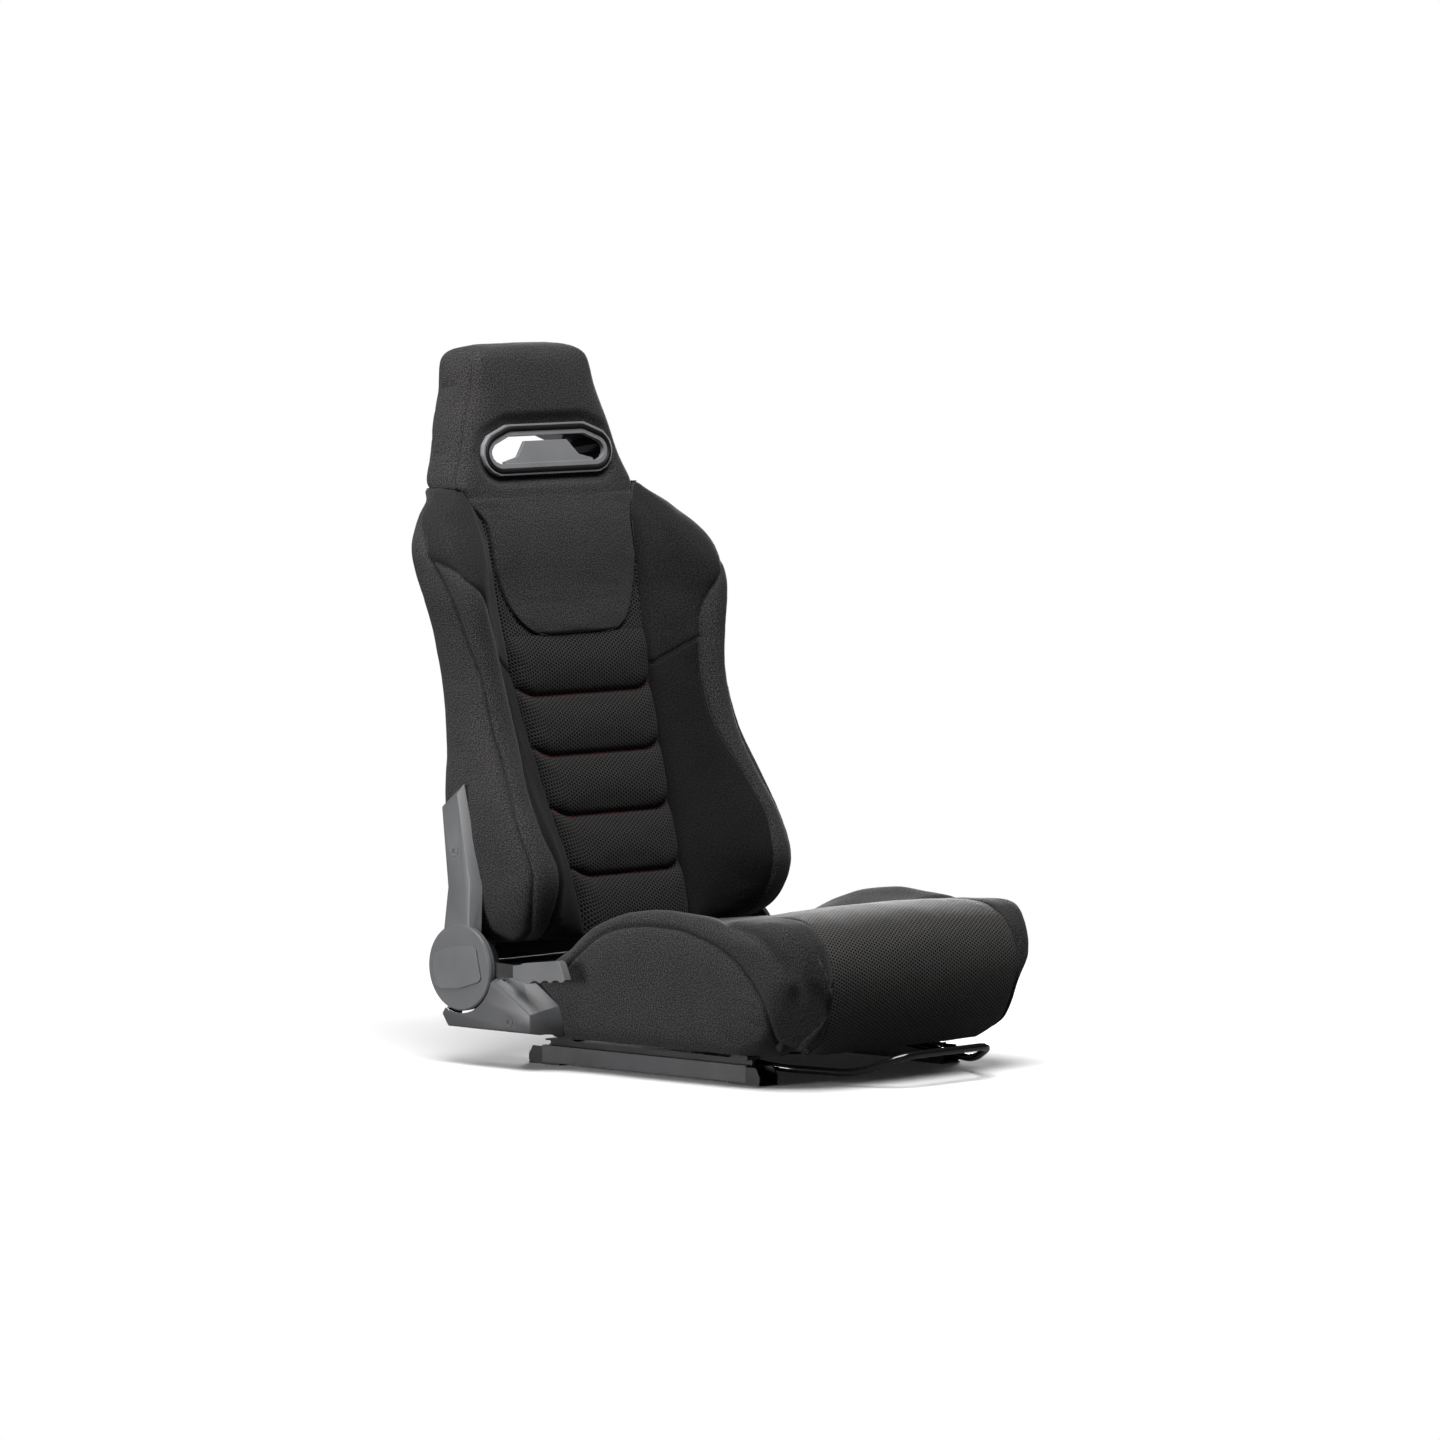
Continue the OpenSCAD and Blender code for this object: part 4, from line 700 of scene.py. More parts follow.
def waviness(skin, size, seed):
    """A soft, even unevenness, the same on every run: -1 to 1, with waves of about the given size."""
    chance = np.random.default_rng(seed)
    total = np.zeros(skin.shape[:2])
    for _ in range(7):
        way = chance.normal(size=3)
        way *= 2 * np.pi / (size * (0.7 + 0.8 * chance.random())) / np.linalg.norm(way)
        total += np.sin(skin @ way + chance.random() * 2 * np.pi)
    return total / 3.5


def run_round(skin):
    """How far round its row each column of a skin lies, from the first column."""
    steps = np.linalg.norm(np.diff(skin, axis=1), axis=2)
    return np.concatenate([np.zeros((len(skin), 1)), np.cumsum(steps, axis=1)], axis=1)


def cloth_on(across, along):
    """The cloth's map of a skin. The last faces of a row close on a repeat of its first column."""
    across = np.column_stack([across, across[:, :1]])
    return across, np.repeat(along[:, None], across.shape[1], axis=1)


print("waves on a flat patch reach", round(float(waviness(np.zeros((1, 1, 3)), 70, 3)[0, 0]), 2))


# %% From a skin to a mesh
def skin_mesh(name, skin, slots, face_slot=None, cloth=None):
    """A Blender mesh from a skin in millimetres. Rows are closed outlines, ends are closed by a face."""
    rows, columns = skin.shape[:2]
    index = np.arange(rows * columns).reshape(rows, columns)
    a, b = index[:-1], np.roll(index, -1, axis=1)[:-1]
    c, d = np.roll(index, -1, axis=1)[1:], index[1:]
    quads = np.stack([a, b, c, d], axis=-1).reshape(-1, 4)
    solid = skin.reshape(-1, 3)
    p, q, r = solid[quads[:, 0]], solid[quads[:, 1]], solid[quads[:, 2]]
    middle = solid.mean(axis=0)
    flip = np.sum(np.cross(q - p, r - p) * (p - middle)) < 0
    faces = [list(f) for f in (quads[:, ::-1] if flip else quads)]
    first, last = list(index[0]), list(index[-1])
    faces += [first, last[::-1]] if flip else [first[::-1], last]
    mesh = bpy.data.meshes.new(name)
    mesh.from_pydata([tuple(v) for v in solid * MM], [], faces)
    for material in slots:
        mesh.materials.append(material)
    if face_slot is not None:
        flat = face_slot[:rows - 1].reshape(-1).astype(int)
        mesh.polygons.foreach_set("material_index", np.concatenate([flat, np.zeros(2, int)]))
    if cloth is None:
        row_run = np.concatenate([[0], np.cumsum(np.linalg.norm(np.diff(skin, axis=0), axis=2).mean(axis=1))])
        around = np.linalg.norm(np.roll(skin, -1, axis=1) - skin, axis=2)
        column_run = np.concatenate([np.zeros((rows, 1)), np.cumsum(around, axis=1)], axis=1)
        cloth = (column_run, np.repeat(row_run[:, None], columns + 1, axis=1))
    u, v = cloth
    layer = mesh.uv_layers.new(name="cloth")
    corner = np.zeros((len(mesh.loops), 2))
    ru, rv = np.divmod(np.arange((rows - 1) * columns), columns)
    order = [(ru, rv), (ru, rv + 1), (ru + 1, rv + 1), (ru + 1, rv)]
    if flip:
        order = order[::-1]
    for k, (i, j) in enumerate(order):
        corner[k:4 * len(quads):4, 0] = u[i, j] * MM
        corner[k:4 * len(quads):4, 1] = v[i, j] * MM
    layer.data.foreach_set("uv", corner.reshape(-1))
    mesh.polygons.foreach_set("use_smooth", np.ones(len(mesh.polygons), bool))
    mesh.update()
    piece = bpy.data.objects.new(name, mesh)
    bpy.context.collection.objects.link(piece)
    return piece


print("ready:", skin_mesh.__name__)

# %% [markdown]
# # Seams
# A seam shows as a fold between two panels with a row of stitches on each side of it. A near-black
# bead fills the bottom of the groove: painted shade in the fold. Every stitch is a small thread of its
# own, thick in its middle and sunk at both ends, because it is the row of small shadows that tells a sewn
# seam.

# %% Rods that carry painted shade in folds
def rod_mesh(points, radius, sides=6):
    """Corners and faces of a thin closed rod that follows the points."""
    p = np.asarray(points, float)
    ahead = np.gradient(p, axis=0)
    ahead /= np.maximum(np.linalg.norm(ahead, axis=1, keepdims=True), 1e-9)
    lead = np.cross(ahead, [0.31, 0.17, 0.93])
    lead /= np.maximum(np.linalg.norm(lead, axis=1, keepdims=True), 1e-9)
    other = np.cross(ahead, lead)
    turn = np.linspace(0, 2 * np.pi, sides, endpoint=False)
    ring = (lead[:, None] * np.cos(turn)[:, None] + other[:, None] * np.sin(turn)[:, None]) * radius
    corners = (p[:, None] + ring).reshape(-1, 3)
    faces = []
    for i in range(len(p) - 1):
        for k in range(sides):
            a, b = i * sides + k, i * sides + (k + 1) % sides
            faces.append((a, b, b + sides, a + sides))
    last = (len(p) - 1) * sides
    faces.append(tuple(range(sides))[::-1])
    faces.append(tuple(last + k for k in range(sides)))
    return corners, faces


print("a fold of ten points has", len(rod_mesh([(i, 0, 0) for i in range(10)], 1.0)[1]), "faces")

# %% Stitches
STITCH_SIDES = 5
# Place along a stitch and thickness there, as shares of its length and width
STITCH = [(-0.5, 0.25), (-0.3, 0.9), (0.3, 0.9), (0.5, 0.25)]
STITCH_PROUD, STITCH_SUNK = 0.15, -0.35


def stitch_mesh(line, normals, pitch=4.0, length=2.7, width=0.42):
    """Little raised threads, one after the other, along a line that lies on the cloth."""
    run = lengths(line)
    count = max(int(run[-1] / pitch), 1)
    starts = (np.arange(count) + 0.5) * run[-1] / count
    corners, faces = [], []
    turn = np.linspace(0, 2 * np.pi, STITCH_SIDES, endpoint=False)
    mid = on_line(line, starts)
    fore = on_line(line, np.minimum(starts + 0.5, run[-1])) - on_line(line, np.maximum(starts - 0.5, 0))
    fore /= np.maximum(np.linalg.norm(fore, axis=1, keepdims=True), 1e-9)
    up = np.column_stack([np.interp(starts, run, normals[:, c]) for c in range(3)])
    up /= np.maximum(np.linalg.norm(up, axis=1, keepdims=True), 1e-9)
    side = np.cross(fore, up)
    for i in range(count):
        ring = side[i] * np.cos(turn)[:, None] + up[i] * np.sin(turn)[:, None]
        for step, size in STITCH:
            lift = STITCH_PROUD if abs(step) < 0.4 else STITCH_SUNK
            corners.append(mid[i] + fore[i] * step * length + up[i] * lift + ring * width * size)
        base = i * len(STITCH) * STITCH_SIDES
        last = base + (len(STITCH) - 1) * STITCH_SIDES
        for start in range(base, last, STITCH_SIDES):
            for k in range(STITCH_SIDES):
                a, b = start + k, start + (k + 1) % STITCH_SIDES
                faces.append((a, b, b + STITCH_SIDES, a + STITCH_SIDES))
        faces.append(tuple(base + k for k in range(STITCH_SIDES))[::-1])
        faces.append(tuple(last + k for k in range(STITCH_SIDES)))
    return np.concatenate(corners), faces


print("one stitch has", len(STITCH) * STITCH_SIDES, "corners")


# %% One piece from many small parts
def plain_mesh(name, parts, material, body):
    """One object from several lists of corners (in millimetres) and faces."""
    corners, faces, start = [], [], 0
    for c, f in parts:
        corners.append(c)
        faces += [tuple(start + i for i in face) for face in f]
        start += len(c)
    mesh = bpy.data.meshes.new(name)
    mesh.from_pydata([tuple(v) for v in np.concatenate(corners) * MM], [], faces)
    mesh.materials.append(material)
    work = bmesh.new()
    work.from_mesh(mesh)
    bmesh.ops.recalc_face_normals(work, faces=work.faces)
    work.to_mesh(mesh)
    work.free()
    mesh.polygons.foreach_set("use_smooth", np.ones(len(mesh.polygons), bool))
    piece = bpy.data.objects.new(name, mesh)
    bpy.context.collection.objects.link(piece)
    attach(piece, body)
    return piece


print("ready:", plain_mesh.__name__)

# %% [markdown]
# # Places on a skin
# A seam is drawn as a line over rows and columns, not in space, so that it stays on its skin when the
# skin swells. A place is a row and a share of the way round its face. Threads are laid beside the
# seam's line and are then brought down on to the cloth.

# %% Finding places on a skin
class Skin:
    """A skin in millimetres with a way to find points on it by row place and column share."""

    def __init__(self, base, rows, shares):
        self.base, self.rows, self.shares = base, rows, shares
        self.normals = normals_of(base)
        self.skin = base.copy()

    def turned(self, sign):
        """The same skin, mirrored to the seat's other side where the sign is -1."""
        return Skin(self.base * [sign, 1, 1], self.rows, self.shares)

    def row_below(self, row):
        """The skin's row at or below a row place, and the share of the way to the next one."""
        i = np.clip(np.interp(row, self.rows, np.arange(len(self.rows))), 0, len(self.rows) - 1.001)
        return int(i), i - int(i)

    def at(self, row, share, grid):
        """Point and outward direction at a row's place and a column's share of its face."""
        lo, t = self.row_below(row)
        out = []
        for field in (grid, self.normals):
            pair = []
            for r in (lo, lo + 1):
                s = self.shares[r]
                pair.append(np.array([np.interp(share, s, field[r, :len(s), c]) for c in range(3)]))
            out.append(pair[0] * (1 - t) + pair[1] * t)
        return out

    def line(self, places, base=False):
        """Points and normals along a seam that is given as (row place, share) pairs."""
        got = [self.at(r, s, self.base if base else self.skin) for r, s in places]
        return np.array([g[0] for g in got]), np.array([g[1] for g in got])

    def push(self, amount):
        """Moves every point outwards by its own amount."""
        self.skin += self.normals * amount[..., None]


class ColumnSkin(Skin):
    """A skin whose seams follow one column each. A negative column counts from the last one."""

    def at(self, row, column, grid):
        lo, t = self.row_below(row)
        return [field[lo, column] * (1 - t) + field[lo + 1, column] * t for field in (grid, self.normals)]


print("ready:", Skin.__name__, "and", ColumnSkin.__name__)


# %% Lines beside a seam
def beside(line, normals, distance):
    """The same line, moved sideways on the cloth."""
    ahead = np.gradient(line, axis=0)
    ahead /= np.maximum(np.linalg.norm(ahead, axis=1, keepdims=True), 1e-9)
    return line + np.cross(ahead, normals) * distance


def on_surface(made, row):
    """Brings a row of points down on to the skin: each takes the height of the nearest skin points."""
    flat, up = made.skin.reshape(-1, 3), made.normals.reshape(-1, 3)
    out = row.copy()
    for i, point in enumerate(row):
        gap = flat - point
        near = np.argsort(np.einsum("ij,ij->i", gap, gap))[:4]
        weight = 1 / (0.3 + np.linalg.norm(gap[near], axis=1))
        n = up[near].mean(axis=0)
        n /= np.linalg.norm(n)
        out[i] = point + n * float(np.sum(weight * (gap[near] @ n)) / np.sum(weight))
    return out


print("ready:", beside.__name__, "and", on_surface.__name__)

# %% [markdown]
# # Foam that swells between its seams
# Sewn cloth over foam is taut at its seams and full between them. Each skin below is finished by the
# cloth solver: the points on the seams and on the hidden sides are held, pressure fills the panels for
# a few frames, and what the solver found is kept within a few millimetres of the drawn shape. The
# grooves and the small puckers beside the threads are laid in afterwards, where they stay crisp.

# %% Filling a skin
def filled(piece, held, pressure, reach, frames=10):
    """Runs the cloth solver on a piece whose held points stay, and keeps part of the move."""
    mesh = piece.data
    before = np.empty(3 * len(mesh.vertices))
    mesh.vertices.foreach_get("co", before)
    group = piece.vertex_groups.new(name="held")
    for weight in (0.35, 1.0):
        chosen = np.nonzero((held >= weight - 0.3) & (held < weight + 0.4))[0]
        group.add(chosen.tolist(), weight, "REPLACE")
    solver = piece.modifiers.new("fill", "CLOTH")
    cloth = solver.settings
    cloth.quality = 4
    cloth.mass = 0.25
    cloth.tension_stiffness = cloth.compression_stiffness = 12
    cloth.shear_stiffness = 6
    cloth.bending_stiffness = 1.2
    cloth.use_pressure = True
    cloth.uniform_pressure_force = pressure
    cloth.vertex_group_mass = "held"
    cloth.effector_weights.gravity = 0.0
    solver.collision_settings.use_collision = False
    solver.collision_settings.use_self_collision = False
    solver.point_cache.frame_start, solver.point_cache.frame_end = 1, frames
    scene = bpy.context.scene
    for frame_number in range(1, frames + 1):
        scene.frame_set(frame_number)
    seen = piece.evaluated_get(bpy.context.evaluated_depsgraph_get())
    after = np.empty_like(before)
    seen.to_mesh().vertices.foreach_get("co", after)
    seen.to_mesh_clear()
    piece.modifiers.remove(solver)
    scene.frame_set(1)
    move = (after - before).reshape(-1, 3)
    size = np.linalg.norm(move, axis=1, keepdims=True)
    move *= np.tanh(size / reach) * reach / np.maximum(size, 1e-9)
    mesh.vertices.foreach_set("co", (before.reshape(-1, 3) + move).reshape(-1))
    mesh.update()
    return float(np.abs(move).max() * 1000)


print("the solver runs over 10 frames")


# %% What holds and what gives
PUCKER_REACH, PUCKER_FROM, PUCKER_WIDE, PUCKER_HEIGHT = 14, 3.5, 4.5, 0.14


def held_points(base, nearest, hidden, calm):
    """How firmly each point is held: fully on seams, ends and hidden columns, and in a calm corner."""
    held = np.clip(1.15 - nearest / 7, 0, 1)
    held[:, hidden:] = 1.0
    held[:2], held[-2:] = 1.0, 1.0
    if calm:
        held = np.maximum(held, np.clip((calm[0] - base[:, :, 1]) / 18, 0, 1)
                          * np.clip((calm[1] - base[:, :, 2]) / 24, 0, 1))
    return held


def pucker(base, line, distance, pitch, shift):
    """Small ripples beside a seam: how far each point of the skin rises or sinks with them."""
    far = distance.reshape(-1)
    near = far < PUCKER_REACH
    gap = np.linalg.norm(base.reshape(-1, 1, 3)[near] - line[None, ::4], axis=2)
    run = lengths(line)
    place = run[np.minimum(np.argmin(gap, axis=1) * 4, len(run) - 1)]
    ripple = np.zeros(len(far))
    fade = np.exp(-((far[near] - PUCKER_FROM) / PUCKER_WIDE) ** 2)
    ripple[near] = np.sin(place / pitch + shift) * fade
    return ripple.reshape(distance.shape) * PUCKER_HEIGHT


def press_in(made, seam, line, distance, shift):
    """Lays the puckers and the groove of one seam into a skin."""
    made.push(pucker(made.base, line, distance, seam.get("pucker", 3.3), shift))
    low, over = seam.get("taper", (-1, 1))
    deep = seam.get("deep", 2.8) * np.clip((made.base[:, :, 2] - low) / over, 0, 1)
    made.push(-deep * np.exp(-(distance / seam.get("wide", 3.0)) ** 2))


print("ready:", held_points.__name__, pucker.__name__, press_in.__name__)

# %% [markdown]
# # Sewing a pad up
# In a trim shop the cover is cut and sewn first and is then drawn over the foam. Here the order is
# turned round: the skin is filled, its seams are pressed in, and the threads are laid on last, so that
# they lie on the finished cloth. Each seam can say how deep and wide its groove is, which sides carry
# a thread and how far off, and whether its fold shows a dark bead of painted shade. What it leaves out
# is that of a doubled seam.

# %% Thread work of a pad
def sew(piece, name, body, made, seams, node_name):
    """Adds the near-black beads of painted shade in the folds, and the threads, of a pad's seams as pieces of
    their own.
    """
    shade_beads, black, red = [], [], []
    for seam in seams:
        now, up = made.line(seam["at"])
        # The bead is painted shade: a near-black rod at the bottom of the groove.
        if seam.get("fold", True):
            shade_beads.append(rod_mesh(now, seam.get("bead", 0.85)))
        target = red if seam.get("red") else black
        for side in seam.get("threads", (-1, 1)):
            row = beside(now, up, side * seam.get("away", 3.0))
            target.append(stitch_mesh(on_surface(made, row), up, width=seam.get("thread", 0.95)))
    # Pieces named _fold are the beads of painted shade.
    for title, parts, material in (("fold", shade_beads, seam_shade), ("stitches", black, black_thread),
                                   ("red_stitches", red, red_thread)):
        if parts:
            extra = plain_mesh(name + "_" + title, parts, material, body)
            extra.parent = piece


print("ready:", sew.__name__)


# %% From skin to finished pad
PRESSURE, FURTHEST_MOVE = 3.0, 0.003
LONG_WAVE, SHORT_WAVE = 70, 26


def finish_pad(name, body, made, seams, slots, face_slot, cloth, node_name, hidden, swell, seed,
               calm=None):
    """Makes the mesh of one pad, fills it, presses its seams in and sews them."""
    base = made.base
    lines = [made.line(seam["at"], base=True)[0] for seam in seams]
    distances = [seam_distance(base, line) for line in lines]
    nearest = np.minimum.reduce(distances)
    made.push(swell * (1 - np.exp(-(nearest / 11) ** 2)) - swell * 0.55)
    piece = skin_mesh(name, made.skin, slots, face_slot, cloth)
    held = held_points(base, nearest, hidden, calm)
    moved = filled(piece, held.reshape(-1), PRESSURE, FURTHEST_MOVE)
    co = np.empty(base.size)
    piece.data.vertices.foreach_get("co", co)
    made.skin = (co / MM).reshape(base.shape)
    soft = waviness(base, LONG_WAVE, seed) * 0.35 + waviness(base, SHORT_WAVE, seed + 1) * 0.12
    made.push(soft * np.clip(nearest / 12, 0, 1))
    for seam, line, distance in zip(seams, lines, distances):
        press_in(made, seam, line, distance, seed)
    piece.data.vertices.foreach_set("co", (made.skin * MM).reshape(-1))
    piece.data.update()
    sew(piece, name, body, made, seams, node_name)
    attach(piece, body)
    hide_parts(node_name)
    print(f"{name}: {len(piece.data.polygons)} faces, filled out by up to {moved:.1f} mm")
    return piece


print("ready:", finish_pad.__name__)

# %% [markdown]
# # Side bolsters of the back
# The tall wings hold the sitter's ribs and shoulders. Each is three panels of cloth: a smooth one
# inside, a narrow band along the ridge, and the knit that wraps the outside. Two doubled seams part
# them, and a short slanting seam crosses the inner panel at chest height.

# %% Seams of the back bolsters
# By height, the share of the way round the face: outer seam of the ridge's band, its inner seam, and
# the slanting seam
BAND_OUTER = [
    (160, 0.52), (175, 0.47), (196, 0.458), (232, 0.467), (274, 0.475), (310, 0.483), (364, 0.467),
    (415, 0.467), (490, 0.5), (544, 0.558), (610, 0.617), (652, 0.655), (667, 0.672), (680, 0.667),
    (705, 0.66), (735, 0.65), (748, 0.65)]
BAND_INNER = [
    (160, 0.37), (184, 0.35), (220, 0.342), (268, 0.358), (310, 0.383), (361, 0.358), (415, 0.295),
    (472, 0.28), (538, 0.29), (574, 0.305), (598, 0.35), (616, 0.41), (630, 0.46), (643, 0.51),
    (652, 0.56), (658, 0.62), (661, 0.66)]
SLANT = [(505, 0.0), (514, 0.083), (525, 0.175), (538, 0.275), (541, 0.292)]
print("the two long seams meet at", BAND_INNER[-1][0], "mm up, the slant runs down to", SLANT[0][0])

# %% Back bolsters
BOLSTER_COLUMNS = (24, 14, 30)


def bolster_skin():
    """One back bolster on the seat's left: its face in three panels, and the hidden side behind."""
    rows = rounded_rows(FOOT_Z, BOLSTER_TOP, 6, 6, (160, 495, 3.4), (495, 548, 1.7), (548, 596, 3.0),
                        (596, 664, 2.0), (664, 748, 3.0))
    grid, shares = [], []
    for z, draw in zip(rows, end_inset(rows, FOOT_Z, BOLSTER_TOP, 6)):
        corners = np.array(bolster_line(z))
        total = lengths(corners)[-1]
        a = at_key(BAND_OUTER, z) * total
        b = min(at_key(BAND_INNER, z) * total, a - 4.0)
        panels = zip((0, b, a), (b, a, total), BOLSTER_COLUMNS)
        places = np.concatenate([span(*panel) for panel in panels] + [[total]])
        face = curve_at(corners, places / total)
        face[:, 0] = np.minimum(face[:, 0], at_key(OUTER, z))
        crease = np.clip((742 - z) / 50, 0.25, 1)
        face[:, 1] += 9 * crease * np.exp(-(places / 4.5) ** 2)
        face[:, 0] += 2 * crease * np.exp(-(places / 5) ** 2)
        xi, xw, yb = face[0, 0], corners[-1, 0], hollow_y(z) + SOFT_GAP
        yw = face[-1, 1]
        hidden = [(xw, lerp(yw, yb, t)) for t in (0.12, 0.4, 0.7, 1.0)]
        hidden += [(lerp(xw, xi, t), yb) for t in (0.15, 0.4, 0.7, 0.9, 1.0)]
        hidden += [(xi, lerp(yb, face[0, 1], 0.5))]
        outline = drawn_in(np.concatenate([face, hidden]), draw)
        grid.append(np.column_stack([outline, np.full(len(outline), z)]))
        shares.append(places / total)
    return Skin(np.array(grid), rows, shares)


for side, sign in (("left", 1), ("right", -1)):
    made = bolster_skin().turned(sign)
    # Below the slanting seam the inner panel takes the smooth lining. Above it, it takes the darker copy of
    # the side knit, which is painted shade.
    inner = np.zeros(made.base.shape[:2], int)
    for i, z in enumerate(made.rows):
        for j in range(BOLSTER_COLUMNS[0] + SPAN_EXTRA):
            low = z < np.interp(made.shares[i][j], [share for _, share in SLANT], [h for h, _ in SLANT])
            inner[i, j] = 1 if low else 2
    seams = [
        {"at": [(z, at_key(BAND_OUTER, z)) for z in np.linspace(161, 747, 560)]},
        {"at": [(z, at_key(BAND_INNER, z)) for z in np.linspace(161, 661, 520)]},
        {"at": [(z, u) for z, u in dense(SLANT, 90)], "threads": (1,)}]
    piece = finish_pad(f"bolster_{side}", "backrest", made, seams, [side_knit, inner_knit, upper_knit],
                       inner, None, f"back_bolster_{side}", len(made.shares[0]), 1.6, 3)
    print(piece.name, "is", round(piece.dimensions.z * 1000), "mm tall")

# %% [markdown]
# # Channelled pad
# The lumbar pad is quilted across: five rolls of air mesh, parted by four seams that are sewn in dark
# red. Each seam turns up at its ends, where the cloth is drawn over the edge of the foam and down
# into the crease beside the bolster.

# %% Channelled pad
CHANNELS = 5
CHANNEL = (PAD_TOP - FOOT_Z) / CHANNELS


def rise(x, w):
    """How far a row turns up near the pad's edges."""
    return 13 * np.clip((np.abs(x) - (w - 34)) / 34, 0, 1) ** 1.5


def channel_skin():
    """The pad's five rolls. A row place of 2.5 is the middle of the third roll from below."""
    starts = [k + span(0, CHANNEL, 19) / CHANNEL for k in range(CHANNELS)]
    v_rows = np.unique(np.concatenate(starts + [[float(CHANNELS)]]))
    grid, runs = [], []
    for v in v_rows:
        z0 = FOOT_Z + CHANNEL * v
        w0 = at_key(INNER, z0)
        half = np.concatenate([np.linspace(0, w0 - 36, 24)[:-1], np.linspace(w0 - 36, w0 - 7, 12)[:-1],
                               w0 - np.array([7, 5.4, 4, 2.8, 1.8, 0.9, 0.3, 0])])
        x = np.concatenate([-half[::-1], half[1:]])
        fade = min(1, v / 0.4, (CHANNELS - v) / 0.4)
        z = z0 + rise(x, w0) * fade
        f = v - math.floor(v) if v < CHANNELS else 1.0
        power = 4 if f < 0.5 or v < CHANNELS - 1 else 2.2
        crest = (1 - abs(2 * f - 1) ** power) * (1 - np.exp(-((w0 - np.abs(x)) / 10) ** 2))
        y = at_key(FRONT, z) + 1 - 10 * crest + 9 * np.exp(-((w0 - np.abs(x)) / 4.5) ** 2)
        wide = at_key(INNER, z) / w0
        front = np.column_stack([x * wide, y, z])
        yb = hollow_y(z0)
        behind = [(w0, lerp(y[-1], yb, s), z0) for s in (0.5, 0.95)]
        behind += [(w0 * (1 - 2 * s), yb, z0) for s in (0.15, 0.5, 0.85)]
        behind += [(-w0, lerp(y[0], yb, s), z0) for s in (0.95, 0.5)]
        grid.append(np.concatenate([front, behind]))
        runs.append(x / w0)
    return Skin(np.array(grid), v_rows, runs)


made = channel_skin()
across = run_round(made.base)
across -= across[:, len(made.shares[0]) // 2][:, None]
along = lengths(made.base[:, 30])
seams = [{"at": [(float(k), s) for s in np.linspace(-0.96, 0.96, 240)], "deep": 2.2, "wide": 2.8,
          "red": True, "threads": (1,), "away": 1.4, "bead": 0.5, "thread": 0.6}
         for k in range(1, CHANNELS)]
# The pad wears the darker copy of the air mesh, which carries painted shade.
finish_pad("channel_pad", "backrest", made, seams, [back_mesh], None, cloth_on(across, along),
           "back_pad", len(made.shares[0]), 0.8, 11)
print("channels:", CHANNELS, "of", round(CHANNEL, 1), "mm")

# %% [markdown]
# # Headrest and chest
# One cover runs from the chest up over the headrest. Its lower edge is a tongue shaped like a shield,
# sewn on to the mesh that shows at both of its sides. Above the shoulders it grows to the full depth of
# the head, with a seam round each side just behind the front face.

# %% Outline of the headrest and chest
# Half width of the shield-shaped tongue, by height
TONGUE = [
    (553, 58), (554.5, 72), (558, 84), (564, 95), (575, 107), (590, 117), (610, 126), (637, 134),
    (668, 140), (700, 144.5), (718, 151), (734, 158)]


def core_outline(z):
    """Half of the outline at height z, from the middle of the front round to the middle behind."""
    w, yf = at_key(INNER, z), at_key(FRONT, z)
    head = z > CAVITY_TOP
    yb = at_key(REAR, z) if head else hollow_y(z)
    deep = yb - yf
    r1 = min(lerp(5, 16, eased(np.clip((z - 712) / 45, 0, 1))), deep * 0.35)
    r2 = min(15, deep * 0.3) if head else 2
    bulge = at_key(REAR_CROWN, z) if head else 0
    x = np.linspace(0, w - r1, 60)
    front = np.column_stack([x, yf - 4 * (1 - (x / (w - r1)) ** 2)])
    turn = np.linspace(0, np.pi / 2, 14)[1:]
    corner = np.column_stack([w - r1 + r1 * np.sin(turn), yf + r1 - r1 * np.cos(turn)])
    side = np.column_stack([np.full(12, w), np.linspace(yf + r1, yb - r2, 14)[1:-1]])
    rear_corner = np.column_stack([w - r2 + r2 * np.cos(turn), yb - r2 + r2 * np.sin(turn)])
    xr = np.linspace(w - r2, 0, 30)[1:]
    rear = np.column_stack([xr, yb + bulge * (1 - (xr / (w - r2)) ** 2)])
    return np.concatenate([front, corner, side, rear_corner, rear]), len(front), len(front) + len(turn)


print("half of the headrest's outline at 800 mm has", len(core_outline(800)[0]), "points")

# %% Skin of the headrest and chest
CORE_COLUMNS = (30, 14)


def core_front(p, places, first, front_end, z):
    """Sets the mesh beside the tongue back, draws it in beside the bolsters and lifts the tongue's tip."""
    w = at_key(INNER, z)
    on_front = places < front_end + 8
    fade = np.clip((745 - z) / 40, 0, 1)
    back_set = lerp(1.0, 3.0, np.clip((z - 553) / 18, 0, 1)) * fade
    out = eased(np.clip((places - first + 3) / 5, 0, 1))
    crown = 4 * (1 - np.minimum(p[:, 0] / w, 1) ** 2) * fade
    p[:, 1] += np.where(on_front, out * (back_set + crown), 0)
    crease = 9 * np.clip((742 - z) / 50, 0.2, 1) * np.exp(-(np.maximum(w - p[:, 0], 0) / 4.5) ** 2)
    p[:, 1] += np.where(on_front, crease * np.clip((745 - z) / 20, 0, 1), 0)
    tip = np.clip((first - places) / 8, 0, 1)
    p[:, 1] += tip * 2.6 * np.exp(-((z - 553.7) / 2.2) ** 2)


